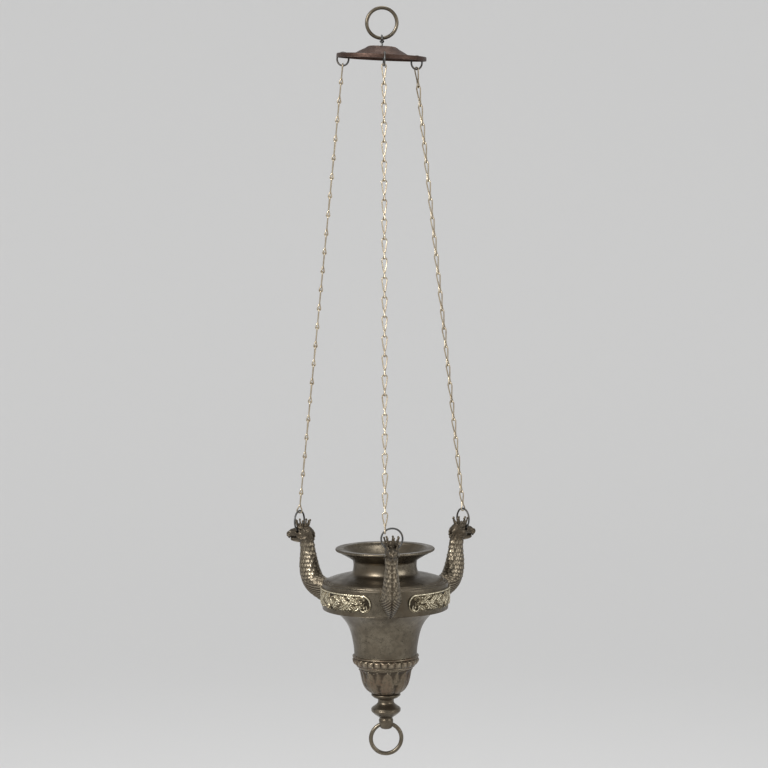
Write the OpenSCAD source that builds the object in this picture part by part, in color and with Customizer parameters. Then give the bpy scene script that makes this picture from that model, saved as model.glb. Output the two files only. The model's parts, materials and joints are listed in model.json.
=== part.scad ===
// Sanctuary lamp: a small altar lamp that hangs on three chains from a dished canopy.
// Z is up. The origin is the top of the top ring's inside, where the ceiling hook bears.
// One arm points to the front, -Y. The other two stand 120 degrees round to each side.

/* [Top ring and eye] */
// Outer diameter of the top ring
top_ring_d = 40; // [32:0.5:60]
// Wire thickness of the top ring
top_ring_wire = 4.2; // [3:0.1:6]
// Wire thickness of the eye that carries the canopy
eye_wire = 2; // [1.6:0.1:3]
// Inside width of the eye's loop
eye_inside = 6.4; // [6:0.1:9]
// Length of the eye's straight sides
eye_side = 4.2; // [3:0.1:12]
// Diameter of the washer under the canopy
washer_d = 9; // [7:0.5:14]
// Thickness of the washer under the canopy
washer_t = 1; // [0.6:0.1:2]

/* [Canopy] */
// Outer diameter of the dished canopy
canopy_d = 107.2; // [90:0.5:130]
// Height of the canopy's downturned lip
canopy_lip = 5; // [3:0.25:7]
// Thickness of the canopy's metal
canopy_t = 1.8; // [1.2:0.1:2.5]
// Diameter of the dome in the middle of the canopy
dome_d = 78; // [50:0.5:84]
// Height of the dome above the flat margin
dome_h = 9.5; // [6:0.25:16]
// Sideways lean of the canopy as it hangs, in degrees
canopy_roll = 2.9; // [0:0.1:4]
// Forward lean of the canopy as it hangs, in degrees
canopy_pitch = 2.6; // [0:0.1:4]
// Outer diameter of the rings that hang on the canopy
canopy_ring_d = 17.8; // [16:0.1:24]
// Wire thickness of the rings that hang on the canopy
canopy_ring_wire = 2.2; // [1.6:0.1:2.6]

/* [Chains] */
// Upright distance from the canopy's margin to the tops of the head rings
chain_drop = 549.5; // [350:0.5:900]
// Usual pitch of one chain link
link_pitch = 22.4; // [18:0.1:30]
// Wire thickness of a chain link
link_wire = 1.65; // [1.3:0.05:1.9]
// Outer width of a link's long loop
link_w = 7.6; // [7:0.1:10]
// Outer width of a link's small eye
link_eye_w = 5.7; // [5.6:0.1:7]
// Outer width of the wider eye on a chain's last link, which holds the head ring
last_eye_w = 8.2; // [7.8:0.1:9]
// Turn of the left chain's links about the chain, in degrees
roll_left = 24; // [-30:1:30]
// Turn of the right chain's links about the chain, in degrees
roll_right = 14; // [-30:1:30]
// Turn of the front chain's top link about the chain, in degrees
roll_front_top = 30; // [-30:1:30]

/* [Head rings] */
// Outer diameter of the rings through the arms' heads
head_ring_d = 27; // [24:0.1:32]
// Wire thickness of the rings through the arms' heads
head_ring_wire = 2.2; // [1.6:0.1:2.8]
// Distance round the front head ring from its top to its chain, in degrees
front_hook_turn = 40; // [0:1:45]

/* [Vessel] */
// Diameter of the mouth's rim
rim_d = 120; // [100:0.5:150]
// Width of the rim's flat lip
lip_w = 9.5; // [5:0.25:14]
// Outer diameter of the neck
neck_d = 76.4; // [66:0.2:96]
// Height from the neck's waist to the rim
neck_h = 20.4; // [16:0.2:30]
// Height from the shoulder's edge to the neck's waist
shoulder_h = 21.8; // [18:0.2:30]
// Outer diameter of the band
band_d = 152; // [130:0.5:190]
// Height of the band
band_h = 31; // [24:0.5:44]
// Thickness of the vessel's metal
wall = 2; // [1.4:0.1:3]
// Clearance between a spigot and the piece that it enters
spigot_gap = 0.1; // [0.05:0.05:0.3]
// Height from the rim up to the tops of the head rings
ring_rise = 40; // [36:0.25:60]

/* [Relief panels] */
// Height of a relief panel
panel_h = 23; // [16:0.5:28]
// How far a relief panel stands out from the band
panel_t = 2.6; // [1.5:0.1:4]
// Angle left free for an arm between two panels, in degrees
panel_gap = 33; // [26:1:50]

/* [Arms] */
// Distance from the middle of the lamp to the middle of an arm's head
head_r = 108.5; // [102:0.5:130]
// Width of an arm's neck seen from the front
arm_w = 13.6; // [11:0.1:18]
// Width of an arm's root seen from the front
arm_root_w = 25.6; // [20:0.2:32]
// Diameter of the cross hole behind the beak
head_hole_d = 3.9; // [3.8:0.1:4.5]
// Thread diameter of an arm's screw
screw_d = 4; // [3:0.5:5]
// Length of an arm's screw under its head
screw_len = 12; // [8:0.5:14]

/* [Lower body] */
// Outer diameter of the bell where it meets the band
bell_top_d = 124; // [108:0.5:140]
// Outer diameter of the bell's waist
bell_waist_d = 75.8; // [60:0.2:80]
// Height of the bell
bell_h = 56.5; // [44:0.5:80]
// Outer diameter of the gadrooned ring
gadroon_d = 80.8; // [72:0.2:92]
// Height of the gadrooned ring and the cove under it
gadroon_h = 25; // [21:0.2:32]
// Outer diameter of the top of the leaf cup
cup_d = 58; // [50:0.2:66]
// Height of the leaf cup
cup_h = 22.6; // [18:0.2:30]
// Outer diameter of the finial's collar
collar_d = 35.8; // [30:0.2:42]
// Outer diameter of the finial's knop
knop_d = 36; // [30:0.2:44]
// Height of the finial from its collar to the end of its lug
finial_h = 44; // [40:0.2:60]
// Diameter of the finial's lug
lug_d = 17.6; // [16:0.1:20]
// Outer diameter of the pull ring
pull_ring_d = 42; // [40:0.2:60]
// Wire thickness of the pull ring
pull_ring_wire = 5; // [4:0.1:5.4]
// Diameter of the tie rod inside the lower body
rod_d = 6; // [5:0.5:8]

/* [Oil glass] */
// Room all round the glass where it passes through the neck
glass_room = 4.2; // [2:0.1:8]
// Height of the glass
glass_h = 62; // [40:0.5:75]
// Thickness of the glass
glass_t = 2.4; // [1.5:0.1:4]
// How far the top of the glass stays below the rim
glass_below = 15.6; // [14.5:0.1:18.8]

/* [Hidden] */
$fn = 64;

// Colours of the metals
bronze = [0.34, 0.31, 0.26];
bronze_worn = [0.52, 0.48, 0.40];
iron = [0.16, 0.15, 0.14];
brass = [0.76, 0.69, 0.57];

// Small clearances
seat = 0.05;      // between two faces that bear on each other
hang = 0.15;      // between two rings where one hangs in the other
hook_gap = 0.45;  // at both ends of the chains, which need room to turn
free = 0.25;      // round a loose ring in its hole

// Directions of the arms, seen from above: front, right, left
FRONT = -90;
RIGHT = 30;
LEFT = 150;

// Levels of the hanger
ring_wire_z = -(top_ring_d - 2 * top_ring_wire) - top_ring_wire / 2;
eye_arc_r = (eye_inside + eye_wire) / 2;
eye_top_z = ring_wire_z + top_ring_wire / 2 + hang - eye_inside / 2;
eye_low_z = eye_top_z - eye_side;
apex_z = eye_low_z - eye_arc_r - eye_wire / 2 - seat;
margin_z = apex_z - dome_h;

// Rings on the canopy: how high the margin stands above a ring's middle
canopy_r = canopy_d / 2;
cring_r = (canopy_ring_d - canopy_ring_wire) / 2;
cring_in = canopy_ring_d / 2 - canopy_ring_wire;
cring_rise = cring_in - 0.5;
tongue_half = sqrt(pow(cring_in, 2) - pow(cring_rise, 2)) - free;
cring_mid = canopy_r - tongue_half;
slot_in = cring_mid - sqrt(pow(canopy_ring_d / 2, 2) - pow(cring_rise - canopy_t, 2)) - free;
slot_out = cring_mid - tongue_half;

// A point on the canopy after the canopy has leaned about its apex
function lean(p) = let (
        a = canopy_roll, b = canopy_pitch,
        x1 = p[0], y1 = p[1] * cos(b) - p[2] * sin(b), z1 = p[1] * sin(b) + p[2] * cos(b))
    [x1 * cos(a) + z1 * sin(a), y1, z1 * cos(a) - x1 * sin(a)];
// Middle of the wire at the bottom of the canopy ring that hangs in direction a
function canopy_hook(a) =
    [0, 0, apex_z] + lean([cring_mid * cos(a), cring_mid * sin(a), -dome_h - cring_rise - cring_r]);

// Levels of the vessel, from its rim down
head_ring_top_z = margin_z - chain_drop;
rim_z = head_ring_top_z - ring_rise;
waist_z = rim_z - neck_h;
band_top_z = waist_z - shoulder_h;
band_low_z = band_top_z - band_h;
bell_low_z = band_low_z - bell_h;
cup_top_z = bell_low_z - gadroon_h;
cup_low_z = cup_top_z - cup_h;
finial_low_z = cup_low_z - finial_h;
band_r = band_d / 2;

// The funnel inside the mouth: the neck's inside, then a slow cone where the glass rests
neck_in = neck_d / 2 - wall;
funnel_in = neck_in + 2.2;
funnel_z = rim_z - neck_h * 0.69;
glass_rim_half = 1.1;
glass_rim_r = neck_in + (rim_z - glass_below - glass_rim_half - waist_z) / (funnel_z - waist_z)
    * (funnel_in - neck_in) - 2 * seat;

// Head rings: the middle of each ring and of the hole that it passes through
hring_r = (head_ring_d - head_ring_wire) / 2;
hring_mid_z = head_ring_top_z - head_ring_d / 2;
head_hole_r = head_r + 8;
head_hole_z = hring_mid_z - hring_r;
// A point on the head ring in direction a, turned by t round the ring from its top
function head_hook(a, t) = [
    head_hole_r * cos(a) + hring_r * sin(t) * sin(a),
    head_hole_r * sin(a) - hring_r * sin(t) * cos(a),
    hring_mid_z + hring_r * cos(t)];

// Pull ring
pring_r = (pull_ring_d - pull_ring_wire) / 2;
lug_reach = sqrt(pow(pring_r, 2) - pow(lug_d / 2, 2));
lug_drop = pring_r - lug_reach + pull_ring_wire / 2 / (lug_reach / pring_r);
lug_hole_d = lug_drop + pull_ring_wire / 2 + 2 * free;
lug_hole_z = finial_low_z + 1.5 + lug_hole_d / 2;
pull_ring_z = lug_hole_z - lug_hole_d / 2 + free + lug_drop;

// A quadratic curve from p to r that is drawn towards q, in n steps
function curve(p, q, r, n = 8) =
    [for (i = [0:n]) let (t = i / n) (1 - t) * (1 - t) * p + 2 * t * (1 - t) * q + t * t * r];

// A ring of round wire about Z
module wire_ring(outer_d, wire) {
    rotate_extrude() translate([(outer_d - wire) / 2, 0]) circle(d = wire, $fn = 24);
}

// A part of a wire ring, from angle 0 to angle a
module wire_arc(r, wire, a) {
    rotate_extrude(angle = a) translate([r, 0]) circle(d = wire, $fn = 24);
}

module top_ring() {
    color(bronze) translate([0, 0, ring_wire_z + (top_ring_d - top_ring_wire) / 2]) rotate([90, 0, 0])
        wire_ring(top_ring_d, top_ring_wire);
}

// The eye's loop stands across the ring, and its shank is riveted over under the canopy
module canopy_eye() {
    rivet_z = apex_z - canopy_t - washer_t - 3 * seat - 0.5;
    color(iron) {
        translate([0, 0, eye_top_z]) rotate([90, 0, 90]) wire_arc(eye_arc_r, eye_wire, 180);
        translate([0, 0, eye_low_z]) rotate([90, 0, 90]) rotate([0, 0, 180])
            wire_arc(eye_arc_r, eye_wire, 180);
        for (s = [-1, 1])
            translate([0, s * eye_arc_r, eye_low_z]) cylinder(d = eye_wire, h = eye_side, $fn = 24);
        translate([0, 0, rivet_z]) cylinder(d = eye_wire, h = eye_low_z - eye_arc_r - rivet_z);
        translate([0, 0, rivet_z - 1.2]) cylinder(d1 = eye_wire, d2 = 2.2 * eye_wire, h = 1.2);
    }
}

module canopy_washer() {
    color(iron) translate([0, 0, apex_z - canopy_t - washer_t - 2 * seat - 0.5]) difference() {
        cylinder(d = washer_d, h = washer_t);
        translate([0, 0, -1]) cylinder(d = eye_wire + 2 * seat, h = washer_t + 2);
    }
}

// Puts a piece that is drawn about the canopy's apex where the canopy hangs
module leaned() {
    translate([0, 0, apex_z]) rotate([0, canopy_roll, 0]) rotate([canopy_pitch, 0, 0]) children();
}

// A shallow dome on a flat margin with a downturned lip, and a slot for each ring
module canopy() {
    dome_r = dome_d / 2;
    outer = concat(
        curve([0, 0], [dome_r * 0.4, 0], [dome_r * 0.66, -dome_h * 0.52], 6),
        curve([dome_r * 0.66, -dome_h * 0.52], [dome_r * 0.88, -dome_h * 0.93], [dome_r + 3, -dome_h], 6),
        [[canopy_r - 0.6, -dome_h], [canopy_r, -dome_h - 0.6], [canopy_r, -dome_h - canopy_lip]]);
    inner = concat(
        [[canopy_r - canopy_t, -dome_h - canopy_lip], [canopy_r - canopy_t, -dome_h - canopy_t]],
        curve([dome_r + 2.4, -dome_h - canopy_t], [dome_r * 0.86, -dome_h * 0.93 - canopy_t],
            [dome_r * 0.63, -dome_h * 0.52 - canopy_t], 6),
        curve([dome_r * 0.63, -dome_h * 0.52 - canopy_t], [dome_r * 0.38, -canopy_t], [0, -canopy_t], 6));
    color(bronze) leaned() difference() {
        rotate_extrude() polygon(concat(outer, inner));
        translate([0, 0, -canopy_t - 1]) cylinder(d = eye_wire + 0.5, h = canopy_t + 2);
        for (a = [FRONT, RIGHT, LEFT]) rotate([0, 0, a]) {
            slot_w = canopy_ring_wire + 2 * free;
            translate([slot_in, -slot_w / 2, -dome_h - canopy_t - 1])
                cube([slot_out - slot_in, slot_w, canopy_t + 2]);
        }
    }
}

module canopy_ring(a) {
    color(iron) leaned() rotate([0, 0, a]) translate([cring_mid, 0, -dome_h - cring_rise]) rotate([90, 0, 0])
        wire_ring(canopy_ring_d, canopy_ring_wire);
}

// One link: a long loop with a small eye of width eye_w across its foot. It is drawn from the
// middle of its top wire at the origin to the eye's low wire at -len.
module link(len, eye_w) {
    r = (link_w - link_wire) / 2;
    eye_r = (eye_w - link_wire) / 2;
    side = len - 2 * r - 2 * eye_r;
    translate([0, 0, -r]) rotate([90, 0, 0]) wire_arc(r, link_wire, 180);
    translate([0, 0, -r - side]) rotate([90, 0, 0]) rotate([0, 0, 180])
        wire_arc(r, link_wire, 180);
    for (s = [-1, 1])
        translate([s * r, 0, -r - side]) cylinder(d = link_wire, h = side, $fn = 24);
    translate([0, 0, -len + eye_r]) rotate([0, 90, 0]) wire_ring(eye_w, link_wire);
}

// A chain from the bottom of a canopy ring to the wire of a head ring, where it meets
// the ring's wire at an angle of hook_turn
module chain(top, low, hook_turn, roll_top, roll_low) {
    way = low - top;
    bear_top = (link_wire + canopy_ring_wire) / 2 + hook_gap;
    bear_low = ((link_wire + head_ring_wire) / 2 + hook_gap) / cos(hook_turn);
    count = round(norm(way) / link_pitch);
    pitch = (norm(way) + bear_top + bear_low - link_wire - seat) / count;
    color(brass) translate(top) rotate([0, 0, atan2(way[1], way[0])])
        rotate([0, -atan2(norm([way[0], way[1]]), -way[2]), 0])
        for (i = [0:count - 1])
            translate([0, 0, bear_top - i * pitch])
                rotate([0, 0, 90 + roll_top + (roll_low - roll_top) * i / (count - 1)])
                    link(pitch + link_wire + seat, i < count - 1 ? link_eye_w : last_eye_w);
}

// The chain in direction a, hooked at a turn of hook_turn round its head ring
module chain_to(a, hook_turn, roll_top, roll_low) {
    chain(canopy_hook(a), head_hook(a, hook_turn), hook_turn, roll_top, roll_low);
}

module head_ring(a) {
    color(iron) rotate([0, 0, a]) translate([head_hole_r, 0, hring_mid_z]) rotate([0, 90, 0])
        wire_ring(head_ring_d, head_ring_wire);
}

// The line of an arm, from the band up the neck to the head: distance out, height and radius
arm_line = [
    [band_r - 4, band_top_z - 16, arm_root_w / 2 - 0.4],
    [band_r + 14, band_top_z - 11.5, arm_root_w / 2 - 0.4],
    [head_r - 8, band_top_z + 1, arm_w * 0.86],
    [head_r - 5.8, band_top_z + 17, arm_w * 0.7],
    [head_r - 4.6, head_hole_z - 18, arm_w * 0.55],
    [head_r - 1.6, head_hole_z - 2.4, arm_w * 0.58]];
// The line of the beak, from inside the head to its tip
beak_line = [
    [head_r, head_hole_z - 3, arm_w * 0.46],
    [head_hole_r + 5, head_hole_z - 3.6, arm_w * 0.36],
    [head_hole_r + 13.2, head_hole_z - 3.2, 3.3]];

// Cones along a line of points, with a ball at each point but the first
module limb(line) {
    for (i = [1:len(line) - 1]) {
        p = line[i - 1];
        q = line[i];
        d = [q[0] - p[0], q[1] - p[1]];
        translate([p[0], 0, p[1]]) rotate([0, atan2(d[0], d[1]), 0])
            cylinder(r1 = p[2], r2 = q[2], h = norm(d));
        translate([q[0], 0, q[1]]) sphere(r = q[2] * 1.03);
    }
}

// A crowned bird's head and neck that curve up out of the band and carry a chain
module arm(a) {
    color(bronze) rotate([0, 0, a]) difference() {
        union() {
            limb(arm_line);
            limb(beak_line);
            translate([head_r, 0, head_hole_z + 1]) cylinder(d1 = arm_w - 3, d2 = arm_w + 3, h = 15);
        }
        translate([0, 0, band_low_z - 20]) cylinder(r = band_r + seat, h = 120);
        translate([head_hole_r, 15, head_hole_z]) rotate([90, 0, 0])
            cylinder(d = head_hole_d, h = 30, $fn = 32);
        translate([band_r - 1, 0, band_top_z - band_h / 2]) rotate([0, 90, 0])
            cylinder(r = screw_d / 2 + seat, h = screw_len - wall + 2, $fn = 32);
    }
}

// One screw per arm, from inside the band
module arm_screws() {
    color(iron) for (a = [FRONT, RIGHT, LEFT])
        rotate([0, 0, a]) translate([band_r - wall - seat, 0, band_top_z - band_h / 2]) rotate([0, 90, 0]) {
            cylinder(d = screw_d, h = screw_len, $fn = 32);
            translate([0, 0, -2.4]) cylinder(d = 2 * screw_d, h = 2.4, $fn = 32);
        }
}

// Rim, funnel, waisted neck and shoulder, spun in one piece with a spigot that enters the band
module mouth_collar() {
    rim = rim_d / 2;
    neck = neck_d / 2;
    edge = band_r - 4;
    outer = concat([[rim - lip_w, rim_z - 0.8], [rim - 0.8, rim_z], [rim, rim_z - 0.8], [rim, rim_z - 2.6]],
        [[rim - 1.2, rim_z - 3.6]],
        curve([rim - 6, rim_z - 5], [neck + 0.2, rim_z - neck_h * 0.6], [neck, waist_z]),
        curve([neck, waist_z], [neck + 0.4, waist_z - shoulder_h * 0.5],
            [edge - 20, waist_z - shoulder_h * 0.6]),
        [[edge - 7, waist_z - shoulder_h * 0.76], [edge, band_top_z + 3]],
        [[edge + 0.8, band_top_z + 1.6], [band_r - 1, band_top_z + 1], [band_r, band_top_z]]);
    spigot = band_r - wall - spigot_gap;
    inner = concat([[spigot, band_top_z], [spigot, band_top_z - 5], [spigot - wall, band_top_z - 5]],
        [[spigot - wall, band_top_z], [edge - 7, waist_z - shoulder_h * 0.76 - wall]],
        curve([edge - 20.6, waist_z - shoulder_h * 0.6 - wall], [neck_in, waist_z - shoulder_h * 0.56],
            [neck_in, waist_z]),
        [[funnel_in, funnel_z]],
        curve([funnel_in, funnel_z], [neck_in + 4, rim_z - neck_h * 0.42], [rim - lip_w - 1.5, rim_z - 2.2]));
    color(bronze) rotate_extrude() polygon(concat(outer, inner));
}

// The drum with the ring-shaped floor that the bell hangs from
module band() {
    floor_in = bell_top_d / 2 - 8;
    color(bronze) difference() {
        rotate_extrude() polygon([
            [band_r - wall, band_top_z - seat], [band_r, band_top_z - seat],
            [band_r, band_low_z + 1], [band_r - 1, band_low_z],
            [floor_in, band_low_z], [floor_in, band_low_z + wall],
            [band_r - wall, band_low_z + wall]]);
        for (a = [FRONT, RIGHT, LEFT])
            rotate([0, 0, a]) translate([band_r - wall - 1, 0, band_top_z - band_h / 2]) rotate([0, 90, 0])
                cylinder(r = screw_d / 2 + seat, h = wall + 2, $fn = 32);
    }
}

// A curved plaque that fills the band between two arms, with its middle in direction a
module relief(a) {
    sweep_a = 120 - panel_gap;
    mid_z = band_top_z - band_h / 2 + 0.5;
    color(bronze_worn) rotate([0, 0, a - sweep_a / 2]) rotate_extrude(angle = sweep_a)
        polygon([[band_r + seat, mid_z - panel_h / 2], [band_r + panel_t - 1, mid_z - panel_h / 2],
            [band_r + panel_t, mid_z - panel_h / 2 + 3], [band_r + panel_t, mid_z + panel_h / 2 - 3],
            [band_r + panel_t - 1, mid_z + panel_h / 2], [band_r + seat, mid_z + panel_h / 2]]);
}

// A bell-shaped shell with a flange at its mouth and a floor at its waist
module bell() {
    top = bell_top_d / 2;
    waist = bell_waist_d / 2;
    flange_z = band_low_z - seat;
    outer = concat([[top - 9, flange_z], [top, flange_z], [top, flange_z - 1.2]],
        curve([top - 1, flange_z - 1.6], [waist + 6.5, flange_z - bell_h * 0.3],
            [waist + 1.4, bell_low_z + bell_h * 0.26]),
        curve([waist + 1.4, bell_low_z + bell_h * 0.26], [waist, bell_low_z + bell_h * 0.12],
            [waist, bell_low_z]));
    inner = concat([[0, bell_low_z], [0, bell_low_z + wall]],
        curve([waist - wall, bell_low_z + wall], [waist - wall, bell_low_z + bell_h * 0.15],
            [waist + 1.4 - wall, bell_low_z + bell_h * 0.28]),
        curve([waist + 1.4 - wall, bell_low_z + bell_h * 0.28],
            [waist + 6 - wall, flange_z - bell_h * 0.34], [top - 9, flange_z - 3.6]));
    color(bronze) difference() {
        rotate_extrude() polygon(concat(outer, inner));
        rod_hole(bell_low_z, wall);
    }
}

// The hole that the tie rod passes through, in a floor of thickness t above z
module rod_hole(z, t) {
    translate([0, 0, z - 1]) cylinder(r = rod_d / 2 + seat, h = t + 2);
}

// A moulded ring of beads between two fillets, over a cove
module gadroon_ring() {
    r = gadroon_d / 2;
    top_z = bell_low_z - seat;
    color(bronze_worn) difference() {
        rotate_extrude() polygon(concat(
            [[0, top_z], [bell_waist_d / 2 + 0.6, top_z]],
            curve([bell_waist_d / 2 + 1.4, top_z - 1], [r, top_z - 2], [r - 0.9, top_z - 3.4], 4),
            curve([r - 0.9, top_z - 3.4], [r + 1, top_z - 7.2], [r - 0.9, top_z - 11], 6),
            curve([r - 0.9, top_z - 11], [r - 1.6, top_z - 13.6], [r - 4.4, top_z - 14.4], 4),
            curve([r - 5, top_z - 15], [cup_d / 2 + 1.4, top_z - gadroon_h * 0.84],
                [cup_d / 2 + 0.4, cup_top_z], 5),
            [[0, cup_top_z]]));
        translate([0, 0, cup_top_z + wall]) cylinder(r = cup_d / 2 - 4, h = gadroon_h - 2 * wall - seat);
        rod_hole(cup_top_z, gadroon_h);
    }
}

module leaf_cup() {
    r = cup_d / 2;
    top_z = cup_top_z - seat;
    color(bronze) difference() {
        rotate_extrude() polygon(concat([[0, top_z], [r, top_z]],
            curve([r, top_z - 1.4], [r - 2.4, cup_low_z + cup_h * 0.5], [collar_d / 2 - 0.5, cup_low_z]),
            [[0, cup_low_z]]));
        translate([0, 0, cup_low_z + wall]) cylinder(r = collar_d / 2 - 5, h = cup_h - 2 * wall);
        rod_hole(cup_low_z, cup_h);
    }
}

// Collar, neck, knop and the lug that holds the pull ring
module finial() {
    top_z = cup_low_z - seat;
    neck = collar_d / 2 - 8;
    knop_z = top_z - 19.5;
    lug = lug_d / 2;
    color(bronze) difference() {
        rotate_extrude() polygon(concat([[0, top_z], [collar_d / 2, top_z - 0.6]],
            curve([collar_d / 2, top_z - 1.8], [collar_d / 2 - 1, top_z - 4.6], [neck + 1.4, top_z - 5.4], 5),
            curve([neck + 1.4, top_z - 5.4], [neck - 1.2, top_z - 9.4], [neck + 1.4, knop_z + 7.4], 5),
            curve([neck + 1.4, knop_z + 7.4], [knop_d / 2 - 3.4, knop_z + 4.6],
                [knop_d / 2, knop_z + 0.8], 5),
            curve([knop_d / 2, knop_z - 0.8], [knop_d / 2 - 3.4, knop_z - 4.6], [lug, knop_z - 8], 5),
            [[lug, finial_low_z + 2.6]],
            curve([lug, finial_low_z + 2.6], [lug - 0.4, finial_low_z], [lug * 0.55, finial_low_z], 4),
            [[0, finial_low_z]]));
        translate([0, 0, top_z - 12]) cylinder(r = rod_d / 2 + seat, h = 13);
        translate([-lug - 1, 0, lug_hole_z]) rotate([0, 90, 0]) cylinder(d = lug_hole_d, h = 2 * lug + 2);
    }
}

// A rod from the finial up through the cup and the gadrooned ring, with its nut inside the bell
module tie_rod() {
    low = cup_low_z - 10;
    color(iron) translate([0, 0, low]) cylinder(d = rod_d, h = bell_low_z + wall + 8 - low);
}

module tie_washer() {
    color(iron) translate([0, 0, bell_low_z + wall + seat]) difference() {
        cylinder(d = 3 * rod_d, h = 1.6);
        rod_hole(0, 1.6);
    }
}

module tie_nut() {
    color(iron) translate([0, 0, bell_low_z + wall + 1.6 + 2 * seat]) difference() {
        cylinder(d = 1.9 * rod_d, h = 0.8 * rod_d, $fn = 6);
        rod_hole(0, 0.8 * rod_d);
    }
}

module pull_ring() {
    color(bronze) translate([0, 0, pull_ring_z - pring_r]) rotate([90, 0, 0])
        wire_ring(pull_ring_d, pull_ring_wire);
}

// A clear cup whose rolled rim rests in the funnel above the neck
module oil_glass() {
    top_z = rim_z - glass_below;
    rim = glass_rim_r;
    roll = glass_rim_half;
    body = neck_in - glass_room;
    low = top_z - glass_h;
    color([0.82, 0.86, 0.84, 0.35]) rotate_extrude() polygon(concat(
        [[rim - 1.6, top_z], [rim - 0.5, top_z - 0.4 * roll], [rim, top_z - roll]],
        [[rim - 0.5, top_z - 1.6 * roll], [rim - 1.6, top_z - 2 * roll], [body, top_z - 5]],
        curve([body, top_z - 5], [body, low], [body * 0.6, low], 8), [[0, low], [0, low + glass_t]],
        curve([body * 0.55, low + glass_t], [body - glass_t, low + glass_t],
            [body - glass_t, top_z - 5], 8)));
}

top_ring();
canopy_eye();
canopy_washer();
canopy();
canopy_ring(FRONT);  // canopy_ring_front
canopy_ring(RIGHT);  // canopy_ring_right
canopy_ring(LEFT);  // canopy_ring_left
chain_to(FRONT, front_hook_turn, roll_front_top, 0);  // chain_front
chain_to(RIGHT, 0, roll_right, roll_right);  // chain_right
chain_to(LEFT, 0, roll_left, roll_left);  // chain_left
head_ring(FRONT);  // head_ring_front
head_ring(RIGHT);  // head_ring_right
head_ring(LEFT);  // head_ring_left
arm(FRONT);  // arm_front
arm(RIGHT);  // arm_right
arm(LEFT);  // arm_left
arm_screws();
mouth_collar();
band();
relief(-150);  // relief_front_left
relief(-30);  // relief_front_right
relief(90);  // relief_back
bell();
gadroon_ring();
leaf_cup();
finial();
tie_rod();
tie_washer();
tie_nut();
pull_ring();
oil_glass();
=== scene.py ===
# %% [markdown]
# # A sanctuary lamp on three chains
#
# The lamp is a small cast and spun vessel that hangs from a dished canopy on three chains, each
# held by a crowned bird's head. The CAD model gives every piece's place and size. This script
# builds a finer piece around each CAD piece, so that the frame stays exact and the looks can
# carry what CAD is poor at: feathers, leaves, wear and patina, with some painted shade and
# highlight.

# %% Load the CAD frame
import json
import math

import bmesh
import bpy
import numpy as np
from mathutils import Matrix, Vector


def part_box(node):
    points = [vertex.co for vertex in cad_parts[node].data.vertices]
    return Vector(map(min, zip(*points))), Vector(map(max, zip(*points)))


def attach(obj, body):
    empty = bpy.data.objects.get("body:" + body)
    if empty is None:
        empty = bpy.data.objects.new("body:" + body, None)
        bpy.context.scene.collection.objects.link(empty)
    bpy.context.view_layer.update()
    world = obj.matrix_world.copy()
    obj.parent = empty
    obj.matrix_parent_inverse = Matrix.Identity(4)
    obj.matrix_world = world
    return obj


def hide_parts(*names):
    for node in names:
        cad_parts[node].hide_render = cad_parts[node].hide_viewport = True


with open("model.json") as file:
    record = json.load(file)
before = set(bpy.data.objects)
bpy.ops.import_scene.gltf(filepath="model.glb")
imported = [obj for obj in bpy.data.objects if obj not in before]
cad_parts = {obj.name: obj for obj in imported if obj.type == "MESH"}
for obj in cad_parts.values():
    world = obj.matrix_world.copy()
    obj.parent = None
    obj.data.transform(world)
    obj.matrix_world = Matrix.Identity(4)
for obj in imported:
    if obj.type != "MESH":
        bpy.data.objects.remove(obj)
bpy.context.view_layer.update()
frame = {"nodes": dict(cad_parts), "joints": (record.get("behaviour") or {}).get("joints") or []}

MM = 0.001

# %% [markdown]
# Sizes come from the frame. A node's box gives its levels and its outer radius, and the rest of
# this script works in millimetres from those values, because a lamp like this one is measured
# in millimetres at the bench.

# %% Read levels and radii from the frame
def low_mm(node):
    """The lowest corner of a CAD node, in millimetres."""
    return np.array(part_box(node)[0]) / MM


def high_mm(node):
    """The highest corner of a CAD node, in millimetres."""
    return np.array(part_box(node)[1]) / MM


def middle_mm(node):
    """The middle of a CAD node's box, in millimetres."""
    return (low_mm(node) + high_mm(node)) / 2


FRONT, RIGHT, LEFT = -90, 30, 150
SIDES = {"front": FRONT, "right": RIGHT, "left": LEFT}

rim_z = high_mm("mouth_collar")[2]
# the collar's box is as wide as its shoulder, so the rim's radius is a value of its own
rim_r = 60.0
band_top_z = high_mm("band")[2]
band_low_z = low_mm("band")[2]
band_r = high_mm("band")[0]
bell_low_z = low_mm("bell")[2]
bell_r = high_mm("bell")[0]
cup_top_z = high_mm("leaf_cup")[2]
cup_low_z = low_mm("leaf_cup")[2]
cup_r = high_mm("leaf_cup")[0]
finial_low_z = low_mm("finial")[2]
print(f"vessel: rim {rim_r:.1f} wide at {rim_z:.1f}, band {band_r:.1f} at {band_top_z:.1f}")

# %% [markdown]
# ## Camera
#
# The camera stands well back with a long lens, a little above the middle of the lamp, so upright
# lines stay almost parallel and the mouth shows as a thin ellipse. It is turned by a fraction of
# a degree, as a camera on a tripod often is.

# %% Place the camera
CAMERA_BACK = 2.685
CAMERA_Z = -0.2599
CAMERA_AZIMUTH = math.radians(-4)
LOOK_DOWN = math.radians(3.95)
CAMERA_ROLL = math.radians(0.35)
FIELD_OF_VIEW = math.radians(19.43)

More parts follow.
